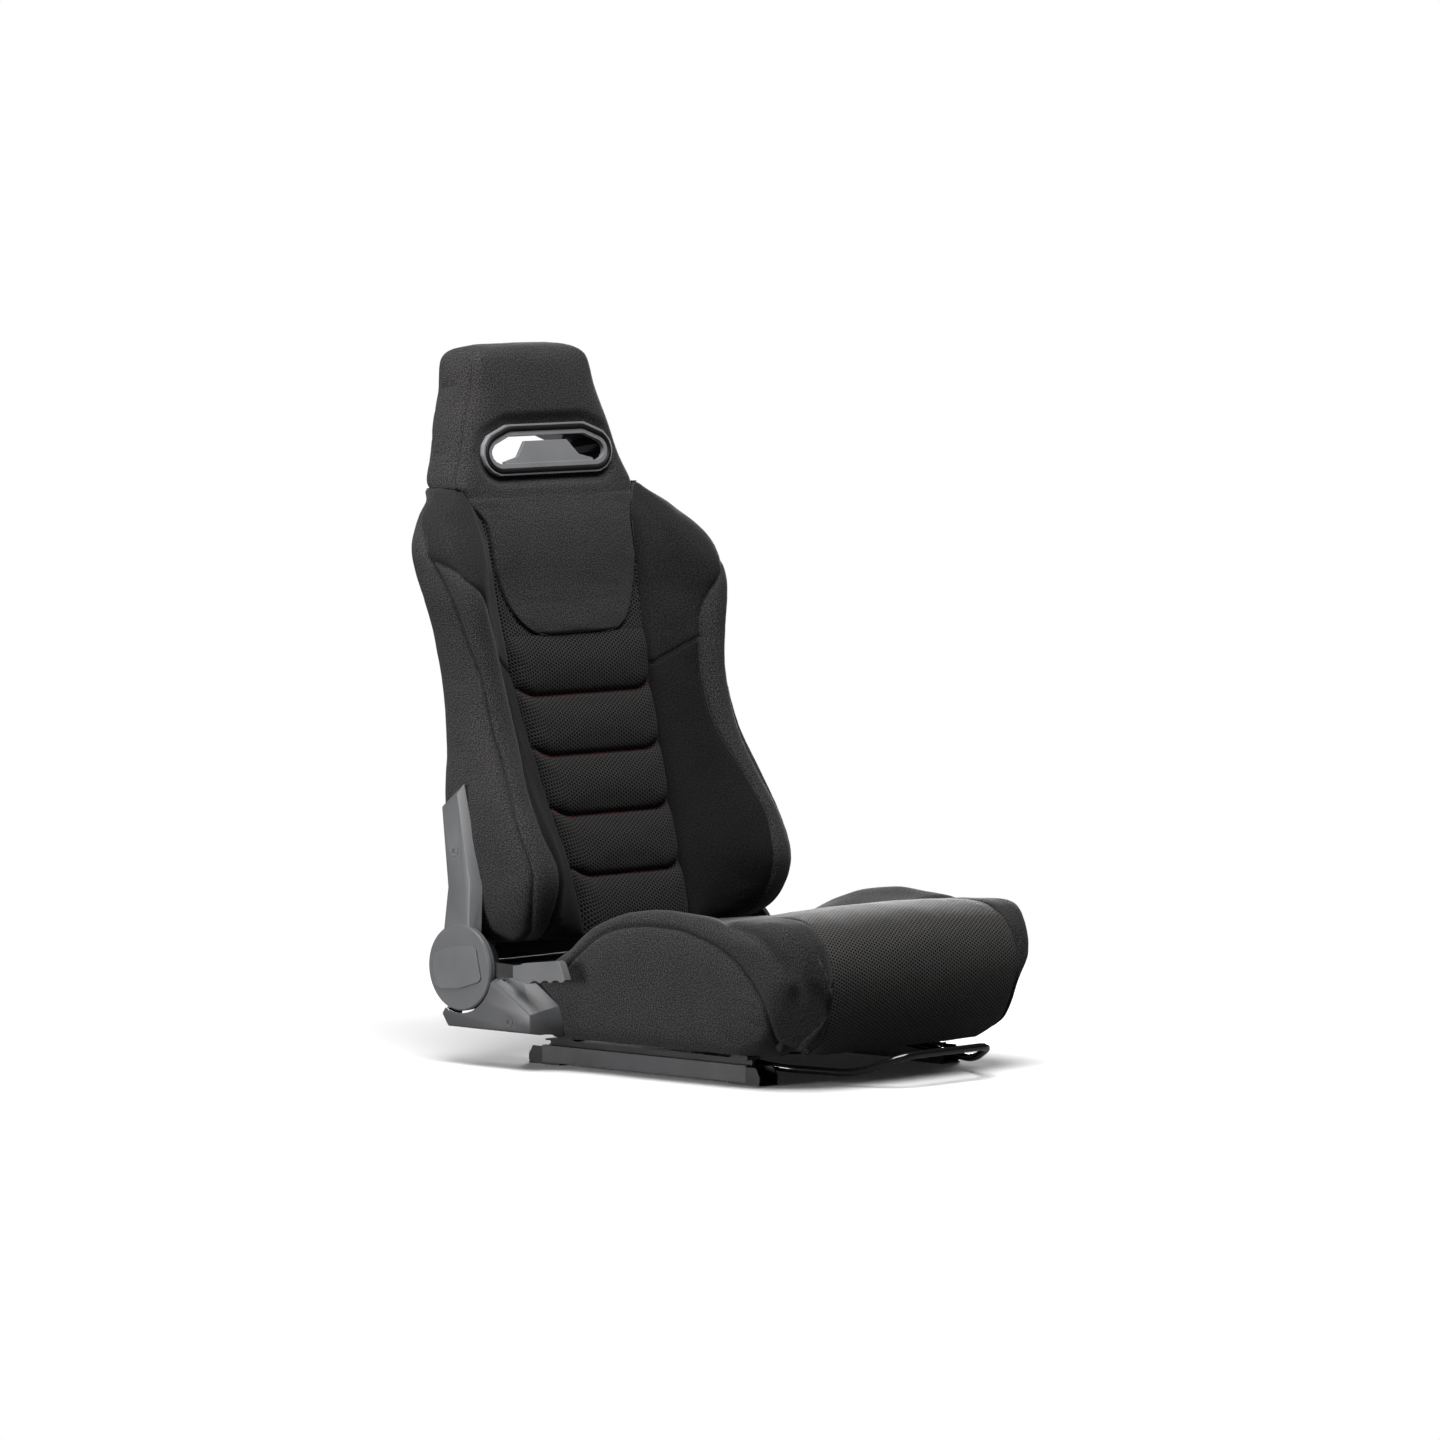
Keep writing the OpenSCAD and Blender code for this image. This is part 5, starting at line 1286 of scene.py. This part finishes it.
def core_skin():
    """The cover from the tongue's tip to the top. Its seams follow one column on each side."""
    rows = np.unique(np.concatenate([
        553.7 + np.array([0, 0.35, 0.8, 1.4, 2.2, 3.2, 4.4, 5.8, 7.4, 9.2]), np.arange(565, 600, 2.2),
        np.arange(600, 731, 3.2), [732.5, 733.9, 734.1, 736], np.arange(739, 916, 3.2),
        [917, 919.5, 922, 924.5, 927, 929, 931, 932.6, 934, 935, 935.7, 936]]))
    grid, shares = [], []
    for z in rows:
        half, corner, corner_end = core_outline(z)
        run = lengths(half)
        head_seam = run[corner_end - 1]
        tongue = min(at_key(TONGUE, z), at_key(INNER, z) - 6)
        first = lerp(tongue, head_seam, eased(np.clip((z - 700) / 45, 0, 1)))
        side_end = run[-1] - (at_key(INNER, z) - 6)
        places = np.concatenate([span(0, first, CORE_COLUMNS[0]), span(first, side_end, CORE_COLUMNS[1]),
                                 np.linspace(side_end, run[-1], 14)])
        p = on_line(half, places)
        if z < 745:
            core_front(p, places, first, run[corner - 1], z)
        whole = np.concatenate([p, (p[1:-1] * [-1, 1])[::-1]])
        height = np.full(len(whole), z)
        if z < 555:
            flank = np.clip((np.abs(whole[:, 0]) - 60) / 6, 0, 1)
            height -= flank * 1.6 * np.clip((555 - z) / 1.4, 0, 1)
        grid.append(np.column_stack([whole, height]))
        shares.append(np.arange(len(places), dtype=float))
    return ColumnSkin(np.array(grid), rows, shares)


made = core_skin()
print("headrest and chest:", made.base.shape[0], "rows of", made.base.shape[1], "points")

# %% Headrest and chest
rows, columns = made.base.shape[:2]
seam_column = CORE_COLUMNS[0] + SPAN_EXTRA
beside_tongue = np.zeros((rows, columns), bool)
for i, z in enumerate(made.rows):
    if z < 716:
        beside_tongue[i, seam_column:columns - seam_column] = True
run = lengths(made.base[:, 5]) + along[-1]
around = run_round(made.base)
past_middle = np.arange(columns)[None, :] > len(made.shares[0]) - 1
signed = np.where(past_middle, around - around[:, -1:], around)
seams = []
for sign in (1, -1):
    seams.append({"at": [(z, sign * seam_column) for z in np.concatenate(
        [np.linspace(554, 575, 60), np.linspace(575.5, 716, 120)])], "deep": 1.5, "threads": ()})
    seams.append({"at": [(z, sign * seam_column) for z in np.linspace(735, 925, 200)], "away": 3.2})
# The mesh beside the tongue is the darker copy of the air mesh, which carries painted shade.
core = finish_pad("head_and_chest", "backrest", made, seams, [side_knit, back_mesh], beside_tongue,
                  cloth_on(signed, run), "back_core", columns, 1.2, 23)
print("mesh on", int(beside_tongue.sum()), "faces, knit on", int((~beside_tongue).sum()))

# %% [markdown]
# # Opening in the headrest
# Harness straps pass through a slot with a moulded frame. The cover is cut to the slot's outline, and
# its edge is tucked in under the frame, so that no bare foam is left to see. The skin is pressed flat
# round the outline, the faces inside are taken out, and a wall joins the front rim to the rear one.

# %% Place of the slot
SLOT_LEAN, SLOT_Z, SLOT_W, SLOT_H = math.radians(8.5), 797, 236, 56
SLOT_CORNERS = [
    (0.62, 0.5), (0.9, 0.28), (0.98, 0.1), (1, -0.08), (0.97, -0.28), (0.9, -0.42), (0.8, -0.5)]
SLOT_CENTRE = np.array([0, at_key(FRONT, SLOT_Z), SLOT_Z])
SLOT_UP = np.array([0, math.sin(SLOT_LEAN), math.cos(SLOT_LEAN)])
SLOT_INWARD = np.array([0, math.cos(SLOT_LEAN), -math.sin(SLOT_LEAN)])


def slot_outline(grow):
    """The slot's outline in its own plane, grown by a few millimetres."""
    right = [(x * SLOT_W / 2, y * SLOT_H) for x, y in SLOT_CORNERS]
    ring = np.array(right + [(-x, y) for x, y in right[::-1]])
    return drawn_in(ring, -grow)


def slot_place(points, depth):
    """Flat slot points to the seat's own frame, depth measured backwards."""
    p = np.asarray(points, float)
    return SLOT_CENTRE + p[:, :1] * [1, 0, 0] + p[:, 1:] * SLOT_UP + depth * SLOT_INWARD


def slot_flat(points):
    """Points of the seat's frame as across, up and depth in the slot's own plane."""
    gap = np.asarray(points) - SLOT_CENTRE
    return gap[..., 0], gap @ SLOT_UP, gap @ SLOT_INWARD


print("slot:", SLOT_W, "by", SLOT_H, "mm, its middle", SLOT_Z, "mm up")


# %% Distance from the slot
def slot_room(across, up):
    """Distance outside the slot's outline, negative inside, the nearest place on it and how far round."""
    ring = slot_outline(0.0)
    ring = spaced(np.concatenate([ring, ring[:1]]), 700)[:-1]
    flat = np.column_stack([np.ravel(across), np.ravel(up)])
    gap = np.linalg.norm(flat[:, None] - ring[None], axis=2)
    round_it = np.argmin(gap, axis=1)
    reach = gap.min(axis=1)
    turn = np.roll(ring, -1, axis=0)
    low, high = np.minimum(ring[:, 1], turn[:, 1]), np.maximum(ring[:, 1], turn[:, 1])
    inside = np.zeros(len(flat), bool)
    for (x0, y0), (x1, y1), lo, hi in zip(ring, turn, low, high):
        if hi > lo:
            hit = (flat[:, 1] >= lo) & (flat[:, 1] < hi)
            x = x0 + (flat[:, 1] - y0) * (x1 - x0) / (y1 - y0)
            inside ^= hit & (flat[:, 0] < x)
    return np.where(inside, -reach, reach), ring[round_it], round_it / len(ring)


print("the slot's middle lies", round(-float(slot_room([0.0], [0.0])[0][0]), 1), "mm inside its outline")


# %% Walls of an opening
def rim_order(edges, share):
    """The corners of a rim, one after the other, from the one with the smallest share upwards."""
    beside_it = {}
    for e in edges:
        for a, b in (e.verts, reversed(e.verts)):
            beside_it.setdefault(a, []).append(b)
    start = min(beside_it, key=lambda v: share[v])
    walk, last = [start], None
    while True:
        ahead = [v for v in beside_it[walk[-1]] if v is not last]
        last = walk[-1]
        if not ahead or ahead[0] is start:
            break
        walk.append(ahead[0])
    values = [share[v] for v in walk]
    if sum(b - a > 0 for a, b in zip(values, values[1:])) < len(walk) / 2:
        walk = [walk[0]] + walk[:0:-1]
    return walk


def wall_between(work, one, two, share):
    """A wall of triangles between two rims whose corners both run the same way round."""
    a = np.maximum.accumulate([share[v] for v in one] + [1.0 + share[one[0]]])
    b = np.maximum.accumulate([share[v] for v in two] + [1.0 + share[two[0]]])
    i = j = made_count = 0
    while i < len(one) or j < len(two):
        if j == len(two) or (i < len(one) and a[i + 1] <= b[j + 1]):
            corners = (one[i], one[(i + 1) % len(one)], two[j % len(two)])
            i += 1
        else:
            corners = (one[i % len(one)], two[(j + 1) % len(two)], two[j])
            j += 1
        work.faces.new(corners).smooth = False
        made_count += 1
    return made_count


print("ready:", rim_order.__name__, "and", wall_between.__name__)

# %% Slot
PRESS_FROM, PRESS_OVER = 24, 16
FRONT_BED, REAR_BED = 2.2, 78.6


def open_slot(piece):
    """Presses the cover flat round the slot, takes out what lies inside and walls the hole."""
    mesh = piece.data
    co = np.empty(3 * len(mesh.vertices))
    mesh.vertices.foreach_get("co", co)
    co = co.reshape(-1, 3) / MM
    across, up, depth = slot_flat(co)
    near = (np.abs(up) < 60) & (np.abs(across) < 150)
    room, nearest, turned_by = np.full(len(co), 99.0), np.zeros((len(co), 2)), np.zeros(len(co))
    room[near], nearest[near], turned_by[near] = slot_room(across[near], up[near])
    front = depth < 35
    press = eased(np.clip((PRESS_FROM - room) / PRESS_OVER, 0, 1))
    bed = np.where(front, FRONT_BED, REAR_BED)
    co += SLOT_INWARD * (press * (bed - depth))[:, None]
    gone = (room < 0.3) & near
    mesh.vertices.foreach_set("co", (co * MM).reshape(-1))
    work = bmesh.new()
    work.from_mesh(mesh)
    work.verts.ensure_lookup_table()
    share = {v: turned_by[v.index] for v in work.verts}
    spot = {v: nearest[v.index] for v in work.verts}
    at_front = {v: front[v.index] for v in work.verts}
    inner_faces = [f for f in work.faces if all(gone[v.index] for v in f.verts)]
    bmesh.ops.delete(work, geom=inner_faces, context="FACES")
    rims = []
    for is_front, bed_depth in ((True, FRONT_BED), (False, REAR_BED)):
        rim = [e for e in work.edges if e.is_boundary and at_front[e.verts[0]] == is_front]
        rims.append(rim_order(rim, share))
        for v in rims[-1]:
            v.co = Vector(slot_place(spot[v][None], bed_depth)[0] * MM)
        print("rim:", len(rim), "edges,", len(rims[-1]), "in order")
    walls = wall_between(work, *rims, share)
    bmesh.ops.recalc_face_normals(work, faces=work.faces)
    open_edges = sum(e.is_boundary for e in work.edges)
    work.to_mesh(mesh)
    work.free()
    return len(inner_faces), walls, open_edges


print("slot: faces out, wall faces, open edges:", open_slot(core))

# %% [markdown]
# # Seat cushion
# The middle of the seat is one sweep of air mesh from the backrest over the full front roll. It is
# held down along its edges, where it meets the thigh bolsters, and full in the middle.

# %% Seat cushion
ROW_GAP, ROW_STEP, LONGEST_STEP = 3.6, 0.02, 40


def roll_places():
    """Places along the sweep, so that its rows lie an even distance apart on the upper face."""
    places = [0.0]
    while places[-1] < ROLL_END:
        s = places[-1]
        here = np.array([at_key(ROLL, s, 1), at_key(ROLL, s, 2)])
        ahead = np.array([at_key(ROLL, min(s + ROW_STEP, ROLL_END), c) for c in (1, 2)])
        gap = max(np.linalg.norm(ahead - here), 0.2)
        places.append(s + ROW_STEP * min(ROW_GAP / gap, LONGEST_STEP))
    return np.array(places[:-1] + [ROLL_END])


def roll_skin():
    """The middle cushion, one closed section after the other from the rear to the skirt."""
    s_rows = roll_places()
    grid, shares = [], []
    for s in s_rows:
        yo, zo, yi, zi = (float(at_key(ROLL, s, c)) for c in (1, 2, 3, 4))
        w = float(cushion_x(yo))
        deep = math.hypot(yi - yo, zi - zo)
        dy, dz = (yi - yo) / deep, (zi - zo) / deep
        t = np.clip((s - 10.5) / 3, 0, 1)
        crown = min(lerp(3, 9, eased(t)), deep * 0.25)
        r = min(lerp(9, 3.5, t), deep * 0.3)
        x = np.linspace(-(w - r), w - r, 84)
        top = np.column_stack([x, -crown * (1 - (x / (w - r)) ** 2)])
        turn = np.linspace(0, np.pi / 2, 7)[1:]
        right = np.column_stack([w - r + r * np.sin(turn), r - r * np.cos(turn)])
        left = (right * [-1, 1])[::-1]
        side = np.linspace(r, deep, 6)[1:]
        down = np.column_stack([np.full(5, w), side])
        under = np.column_stack([np.linspace(w, -w, 8)[1:-1], np.full(6, deep)])
        up = (down * [-1, 1])[::-1]
        outline = np.concatenate([left, top, right, down, under, up])
        grid.append(np.column_stack([outline[:, 0], yo + dy * outline[:, 1], zo + dz * outline[:, 1]]))
        shares.append(np.arange(len(left) + len(top) + len(right), dtype=float))
    return Skin(corner_cut(np.array(grid)), s_rows, shares)


made = roll_skin()
across = run_round(made.base)
across -= across[:, len(made.shares[0]) // 2][:, None]
cloth = cloth_on(across, lengths(made.base[:, 40]))
last = len(made.shares[0]) - 1
seams = [{"at": [(s, float(c)) for s in np.linspace(0.5, 20.5, 300)], "deep": 0.8, "wide": 3.0,
          "threads": (), "fold": False} for c in (3, last - 3)]
finish_pad("seat_pad", "seat", made, seams, [mesh_cloth], None, cloth, "seat_cushion",
           len(made.shares[0]), 1.0, 31)
print("seat pad:", len(made.rows), "rows,", round(float(cloth[1].max())), "mm from the rear to the skirt")

# %% [markdown]
# # Thigh bolsters
# The wings of the seat keep the thighs together. A knitted side panel stands below a band that runs
# over the crest, parted by a doubled seam. At the front the band dives into a valley beside a gusset
# that wraps the end of the roll.

# %% Seams of the thigh bolsters
# By place y, the share of the way round the face: the doubled seam and the valley by the gusset
DOUBLE = [
    (-282, 0.95), (-274, 0.90), (-254, 0.708), (-229, 0.558), (-190, 0.433), (-129, 0.375), (-77, 0.375),
    (-17, 0.375), (35, 0.392), (77, 0.458), (110, 0.52), (160, 0.56)]
VALLEY = [
    (-130, 0.0), (-145, 0.1), (-165, 0.2), (-186, 0.267), (-211, 0.283), (-238, 0.308), (-265, 0.367),
    (-286, 0.442), (-297, 0.525), (-300, 0.62)]
print("the doubled seam runs over", DOUBLE[-1][0] - DOUBLE[0][0], "mm, the valley over",
      VALLEY[0][0] - VALLEY[-1][0], "mm")


# %% Thigh bolsters
def thigh_skin():
    """One thigh bolster on the seat's left, row by row from front to rear."""
    rows = rounded_rows(THIGH_FRONT, THIGH_END, 5, 6, (-311, -288.4, 2.0), (-287.6, -250, 2.6),
                        (-250, 90, 3.6), (90, THIGH_END, 2.6))
    rows = np.unique(np.concatenate([rows, [-SKIRT_Y - 0.1, -SKIRT_Y + 0.1]]))
    grid, shares = [], []
    for y, draw in zip(rows, end_inset(rows, THIGH_FRONT, THIGH_END, 5)):
        corners = np.array(thigh_line(y))
        total = lengths(corners)[-1]
        d = at_key(DOUBLE, y) * total
        places = np.concatenate([span(0, d, 26), span(d, total, 30), [total]])
        face = curve_at(corners, places / total)
        face[:, 0] = np.minimum(face[:, 0], at_key(THIGH, y, 2))
        fold = np.clip((y + 150) / 40, 0.25, 1)
        face[:, 1] -= 6 * fold * np.exp(-(places / 5) ** 2)
        zb, xo, tuck = at_key(THIGH, y, 4), at_key(THIGH, y, 2), at_key(THIGH, y, 5)
        is_open = y > -SKIRT_Y
        xw = min(FRAME_SIDE, xo - tuck - 8)
        zk = PAN_Z if is_open else zb + 1
        xi = face[0, 0]
        hidden = [(lerp(face[-1, 0], xw, t), zb) for t in (0.5, 1.0)]
        hidden += [(xw, lerp(zb, zk, t)) for t in (0.3, 0.7, 1.0)]
        hidden += [(lerp(xw, xi, t), zk) for t in (0.5, 1.0)]
        hidden += [(xi, lerp(zk, face[0, 1], t)) for t in (0.4, 0.8)]
        flat = np.concatenate([face, hidden])
        outline = drawn_in(flat, draw)
        inside = np.clip((flat[:, 0] - xi) / 14, 0, 1)
        outline[:, 0] = lerp(flat[:, 0], outline[:, 0], inside)
        grid.append(np.column_stack([outline[:, 0], np.full(len(outline), y), outline[:, 1]]))
        shares.append(places / total)
    return Skin(corner_cut(np.array(grid)), rows, shares)


for side, sign in (("left", 1), ("right", -1)):
    made = thigh_skin().turned(sign)
    seams = [
        {"at": [(y, at_key(DOUBLE, y)) for y in np.linspace(-281, 135, 420)], "away": 3.0},
        {"at": [tuple(p) for p in dense(VALLEY, 260)], "deep": 4.5, "wide": 8.0, "threads": (),
         "fold": False, "pucker": 9.0, "taper": (96, 60)}]
    piece = finish_pad(f"thigh_{side}", "seat", made, seams, [side_knit], None, None,
                       f"thigh_bolster_{side}", len(made.shares[0]), 1.6, 41, calm=(-262, 128))
    print(piece.name, "is", round(piece.dimensions.y * 1000), "mm long")


# %% [markdown]
# # Adjuster bar and slot bezel
# The bar that frees the slide is one steel rod, cold bent round a former, so its corners are arcs and
# not joints. A rod like that is a curve with a round section, turned into a mesh. Its ends are bored
# eyes for the pins: short tubes with a wall. The slot's grey frame sits in a black bezel, which is a
# closed curve made in the same way.

# %% Rods from curves
def rounded_path(points, radius, steps=9):
    """The path with each inner corner replaced by an arc-like curve that starts radius before it."""
    p = np.asarray(points, float)
    out = [p[0]]
    for before, corner, after in zip(p[:-2], p[1:-1], p[2:]):
        a, b = before - corner, after - corner
        cut_off = min(radius, np.linalg.norm(a) * 0.45, np.linalg.norm(b) * 0.45)
        start = corner + a / np.linalg.norm(a) * cut_off
        end = corner + b / np.linalg.norm(b) * cut_off
        for t in np.linspace(0, 1, steps):
            out.append(start * (1 - t) ** 2 + corner * 2 * t * (1 - t) + end * t**2)
    out.append(p[-1])
    return np.array(out)


def bent_rod(name, path, radius, material, closed=False):
    """A round rod along a path: a curve with a bevel, turned into a mesh."""
    bpy.ops.object.select_all(action="DESELECT")
    bpy.ops.curve.primitive_nurbs_path_add(location=(0, 0, 0))
    rod = bpy.context.object
    rod.name = name
    rod.data.splines.clear()
    line = rod.data.splines.new("POLY")
    line.points.add(len(path) - 1)
    line.points.foreach_set("co", np.column_stack([path * MM, np.ones(len(path))]).reshape(-1))
    line.use_cyclic_u = closed
    rod.data.dimensions = "3D"
    rod.data.bevel_depth, rod.data.bevel_resolution = radius * MM, 6
    rod.data.use_fill_caps = not closed
    bpy.ops.object.convert(target="MESH")
    rod = bpy.context.object
    rod.data.materials.clear()
    rod.data.materials.append(material)
    bpy.ops.object.shade_smooth_by_angle(angle=math.radians(40))
    return rod


print("a corner becomes", len(rounded_path([(0, 0, 0), (50, 0, 0), (50, 50, 0)], 10)) - 2, "points")


# %% Bored eyes
def bored_eye(x, y, z, inner, outer, width, material):
    """A short tube across the seat, with a wall and softened rims."""
    bpy.ops.object.select_all(action="DESELECT")
    bpy.ops.mesh.primitive_cylinder_add(
        vertices=48, radius=outer * MM, depth=width * MM, end_fill_type="NOTHING",
        location=(x * MM, y * MM, z * MM), rotation=(0, math.pi / 2, 0))
    eye = bpy.context.object
    bpy.ops.object.transform_apply(location=True, rotation=True, scale=True)
    wall = eye.modifiers.new("wall", "SOLIDIFY")
    wall.thickness, wall.offset = (outer - inner) * MM, -1
    bpy.ops.object.modifier_apply(modifier="wall")
    rims = eye.modifiers.new("rims", "BEVEL")
    rims.width, rims.segments, rims.limit_method = 0.6 * MM, 2, "ANGLE"
    bpy.ops.object.modifier_apply(modifier="rims")
    eye.data.materials.append(material)
    bpy.ops.object.shade_smooth_by_angle(angle=math.radians(40))
    return eye


print("ready:", bored_eye.__name__)

# %% Adjuster bar
LEG_X, PIN_Y, PIN_Z, PIN_R, EYE_R = 151.1, -112, 30, 3.0, 7.0
half_bar = [
    (LEG_X, PIN_Y - 4.5, PIN_Z - 1.0), (LEG_X, -200, 20.5), (115, -300, 17.5), (83, -357, 42), (0, -357, 42)]
whole_bar = half_bar + [(-x, y, z) for x, y, z in half_bar[-2::-1]]
bar = bent_rod("adjuster_rod", rounded_path(whole_bar, 26), 5.0, gloss_paint)
eyes = [bored_eye(side * LEG_X, PIN_Y, PIN_Z, PIN_R + 0.06, EYE_R, 10, gloss_paint) for side in (1, -1)]
bpy.ops.object.select_all(action="DESELECT")
for piece in (*eyes, bar):
    piece.select_set(True)
bpy.context.view_layer.objects.active = bar
bpy.ops.object.join()
# The paint reads the piece's own coordinates, so the maps that rod and tubes brought are dropped
while bar.data.uv_layers:
    bar.data.uv_layers.remove(bar.data.uv_layers[0])
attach(bar, "bar")
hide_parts("adjuster_bar")
print("bar:", len(bar.data.polygons), "faces")

# %% Slot bezel
BEZEL_GROW, BEZEL_PROUD, BEZEL_R = 3.7, 4.9, 4.0
ring = slot_outline(BEZEL_GROW)
ring = rounded_path(np.concatenate([ring, ring[:2]])[:, :2], 9)[5:-5]
loop = slot_place(spaced(np.concatenate([ring, ring[:1]]), 161)[:-1], -BEZEL_PROUD)
bezel = bent_rod("slot_bezel", loop, BEZEL_R, bezel_plastic, closed=True)
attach(bezel, "backrest")
print("bezel:", len(bezel.data.polygons), "faces")

# %% [markdown]
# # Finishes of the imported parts
# Rails, brackets and tubes are painted or plated steel, covers are moulded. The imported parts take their
# finishes here by what they are made of, and the softened copies below inherit them.

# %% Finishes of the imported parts
def paint(name, material):
    """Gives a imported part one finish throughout."""
    packed = frame["nodes"][name]
    for place in packed.material_slots:
        place.material = material
    if not packed.material_slots:
        packed.data.materials.append(material)


FINISHES = {
    rail_paint: ("lower_rail_right", "lower_rail_left"),
    black_paint: ("floor_feet", "rail_brackets", "seat_frame", "recliner_bracket_right",
                  "recliner_bracket_left", "back_frame", "arm_plate_right", "arm_plate_left", "bar_pins",
                  "recline_lever", "recline_shaft", "upper_rail_right", "upper_rail_left"),
    black_plastic: ("recliner_base_right", "recliner_base_left", "recliner_rotor_right",
                    "recliner_rotor_left"),
    foot_plastic: ("lower_cover_right", "lower_cover_left", "base_screws"),
    grey_plastic: ("arm_cover_right", "arm_cover_left", "badge_plate_right", "badge_plate_left",
                   "arm_screws"),
    grip_plastic: ("lever_grip",),
    ring_plastic: ("slot_ring_front",),
    gloss_plastic: ("slot_sleeve", "slot_ring_rear"),
    gloss_paint: ("adjuster_bar",),
    shell_plastic: ("rear_cover",),
    bare_steel: ("slide_balls", "rail_bolts", "seat_spring_wires", "back_wires"),
}
for material, names in FINISHES.items():
    for name in names:
        paint(name, material)
print("painted", sum(len(v) for v in FINISHES.values()), "nodes")

# %% [markdown]
# # Hard parts with softened edges
# Moulded and pressed parts never have knife edges: the mould leaves a radius, and that narrow band is
# what catches the light. Each part listed below keeps its imported shape. A copy is cleaned of the thin
# triangles, its sharp edges get a small bevel, and it takes the place of the plain solid.

# %% Softened copies
def softened(name, width, segments=2, angle=32):
    """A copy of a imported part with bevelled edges, which stands in for it."""
    source = frame["nodes"][name]
    body = source.parent.name.split(":")[1]
    piece = bpy.data.objects.new(name + "_soft", source.data.copy())
    bpy.context.collection.objects.link(piece)
    work = bmesh.new()
    work.from_mesh(piece.data)
    bmesh.ops.remove_doubles(work, verts=work.verts, dist=0.00002)
    bmesh.ops.dissolve_limit(work, angle_limit=math.radians(1.0), verts=work.verts, edges=work.edges)
    work.to_mesh(piece.data)
    work.free()
    if piece.data.has_custom_normals:
        bpy.context.view_layer.objects.active = piece
        bpy.ops.mesh.customdata_custom_splitnormals_clear()
    piece.select_set(True)
    bpy.ops.object.shade_smooth_by_angle(angle=math.radians(angle))
    rounding = piece.modifiers.new("edges", "BEVEL")
    rounding.width, rounding.segments, rounding.limit_method = width * MM, segments, "ANGLE"
    rounding.angle_limit = math.radians(angle)
    rounding.use_clamp_overlap = True
    rounding.harden_normals = True
    bpy.ops.object.modifier_apply(modifier="edges")
    piece.select_set(False)
    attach(piece, body)
    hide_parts(name)
    return piece


bpy.ops.object.select_all(action="DESELECT")
WIDTHS = {
    "arm_cover_right": 1.4, "arm_cover_left": 1.4, "lower_cover_right": 1.4, "lower_cover_left": 1.4,
    "badge_plate_right": 0.8, "badge_plate_left": 0.8, "lever_grip": 1.0, "slot_ring_front": 1.2,
    "lower_rail_right": 0.6, "lower_rail_left": 0.6, "floor_feet": 0.5}
for name, width in WIDTHS.items():
    made = softened(name, width)
    print(name, len(made.data.polygons), "faces")

# %% [markdown]
# # Front corners of the seat frame
# The pressed pan's front corners are cut on the slant, so that the cover can turn in under them. A
# press would crop them in the blank. Here a slanting plane cuts the copy and closes it again.

# %% Front corners of the seat frame
pan = softened("seat_frame", 0.4, segments=1)
bpy.context.view_layer.objects.active = pan
pan.select_set(True)
CUT_AT, CUT_WAY = (0.130, -0.268, 0.043), (0.60, -0.64, -0.48)
for side in (1, -1):
    bpy.ops.object.mode_set(mode="EDIT")
    bpy.ops.mesh.select_all(action="SELECT")
    bpy.ops.mesh.bisect(plane_co=(side * CUT_AT[0], *CUT_AT[1:]), plane_no=(side * CUT_WAY[0], *CUT_WAY[1:]),
                        clear_outer=True, use_fill=True)
    bpy.ops.object.mode_set(mode="OBJECT")
pan.select_set(False)
print("seat frame:", len(pan.data.polygons), "faces")
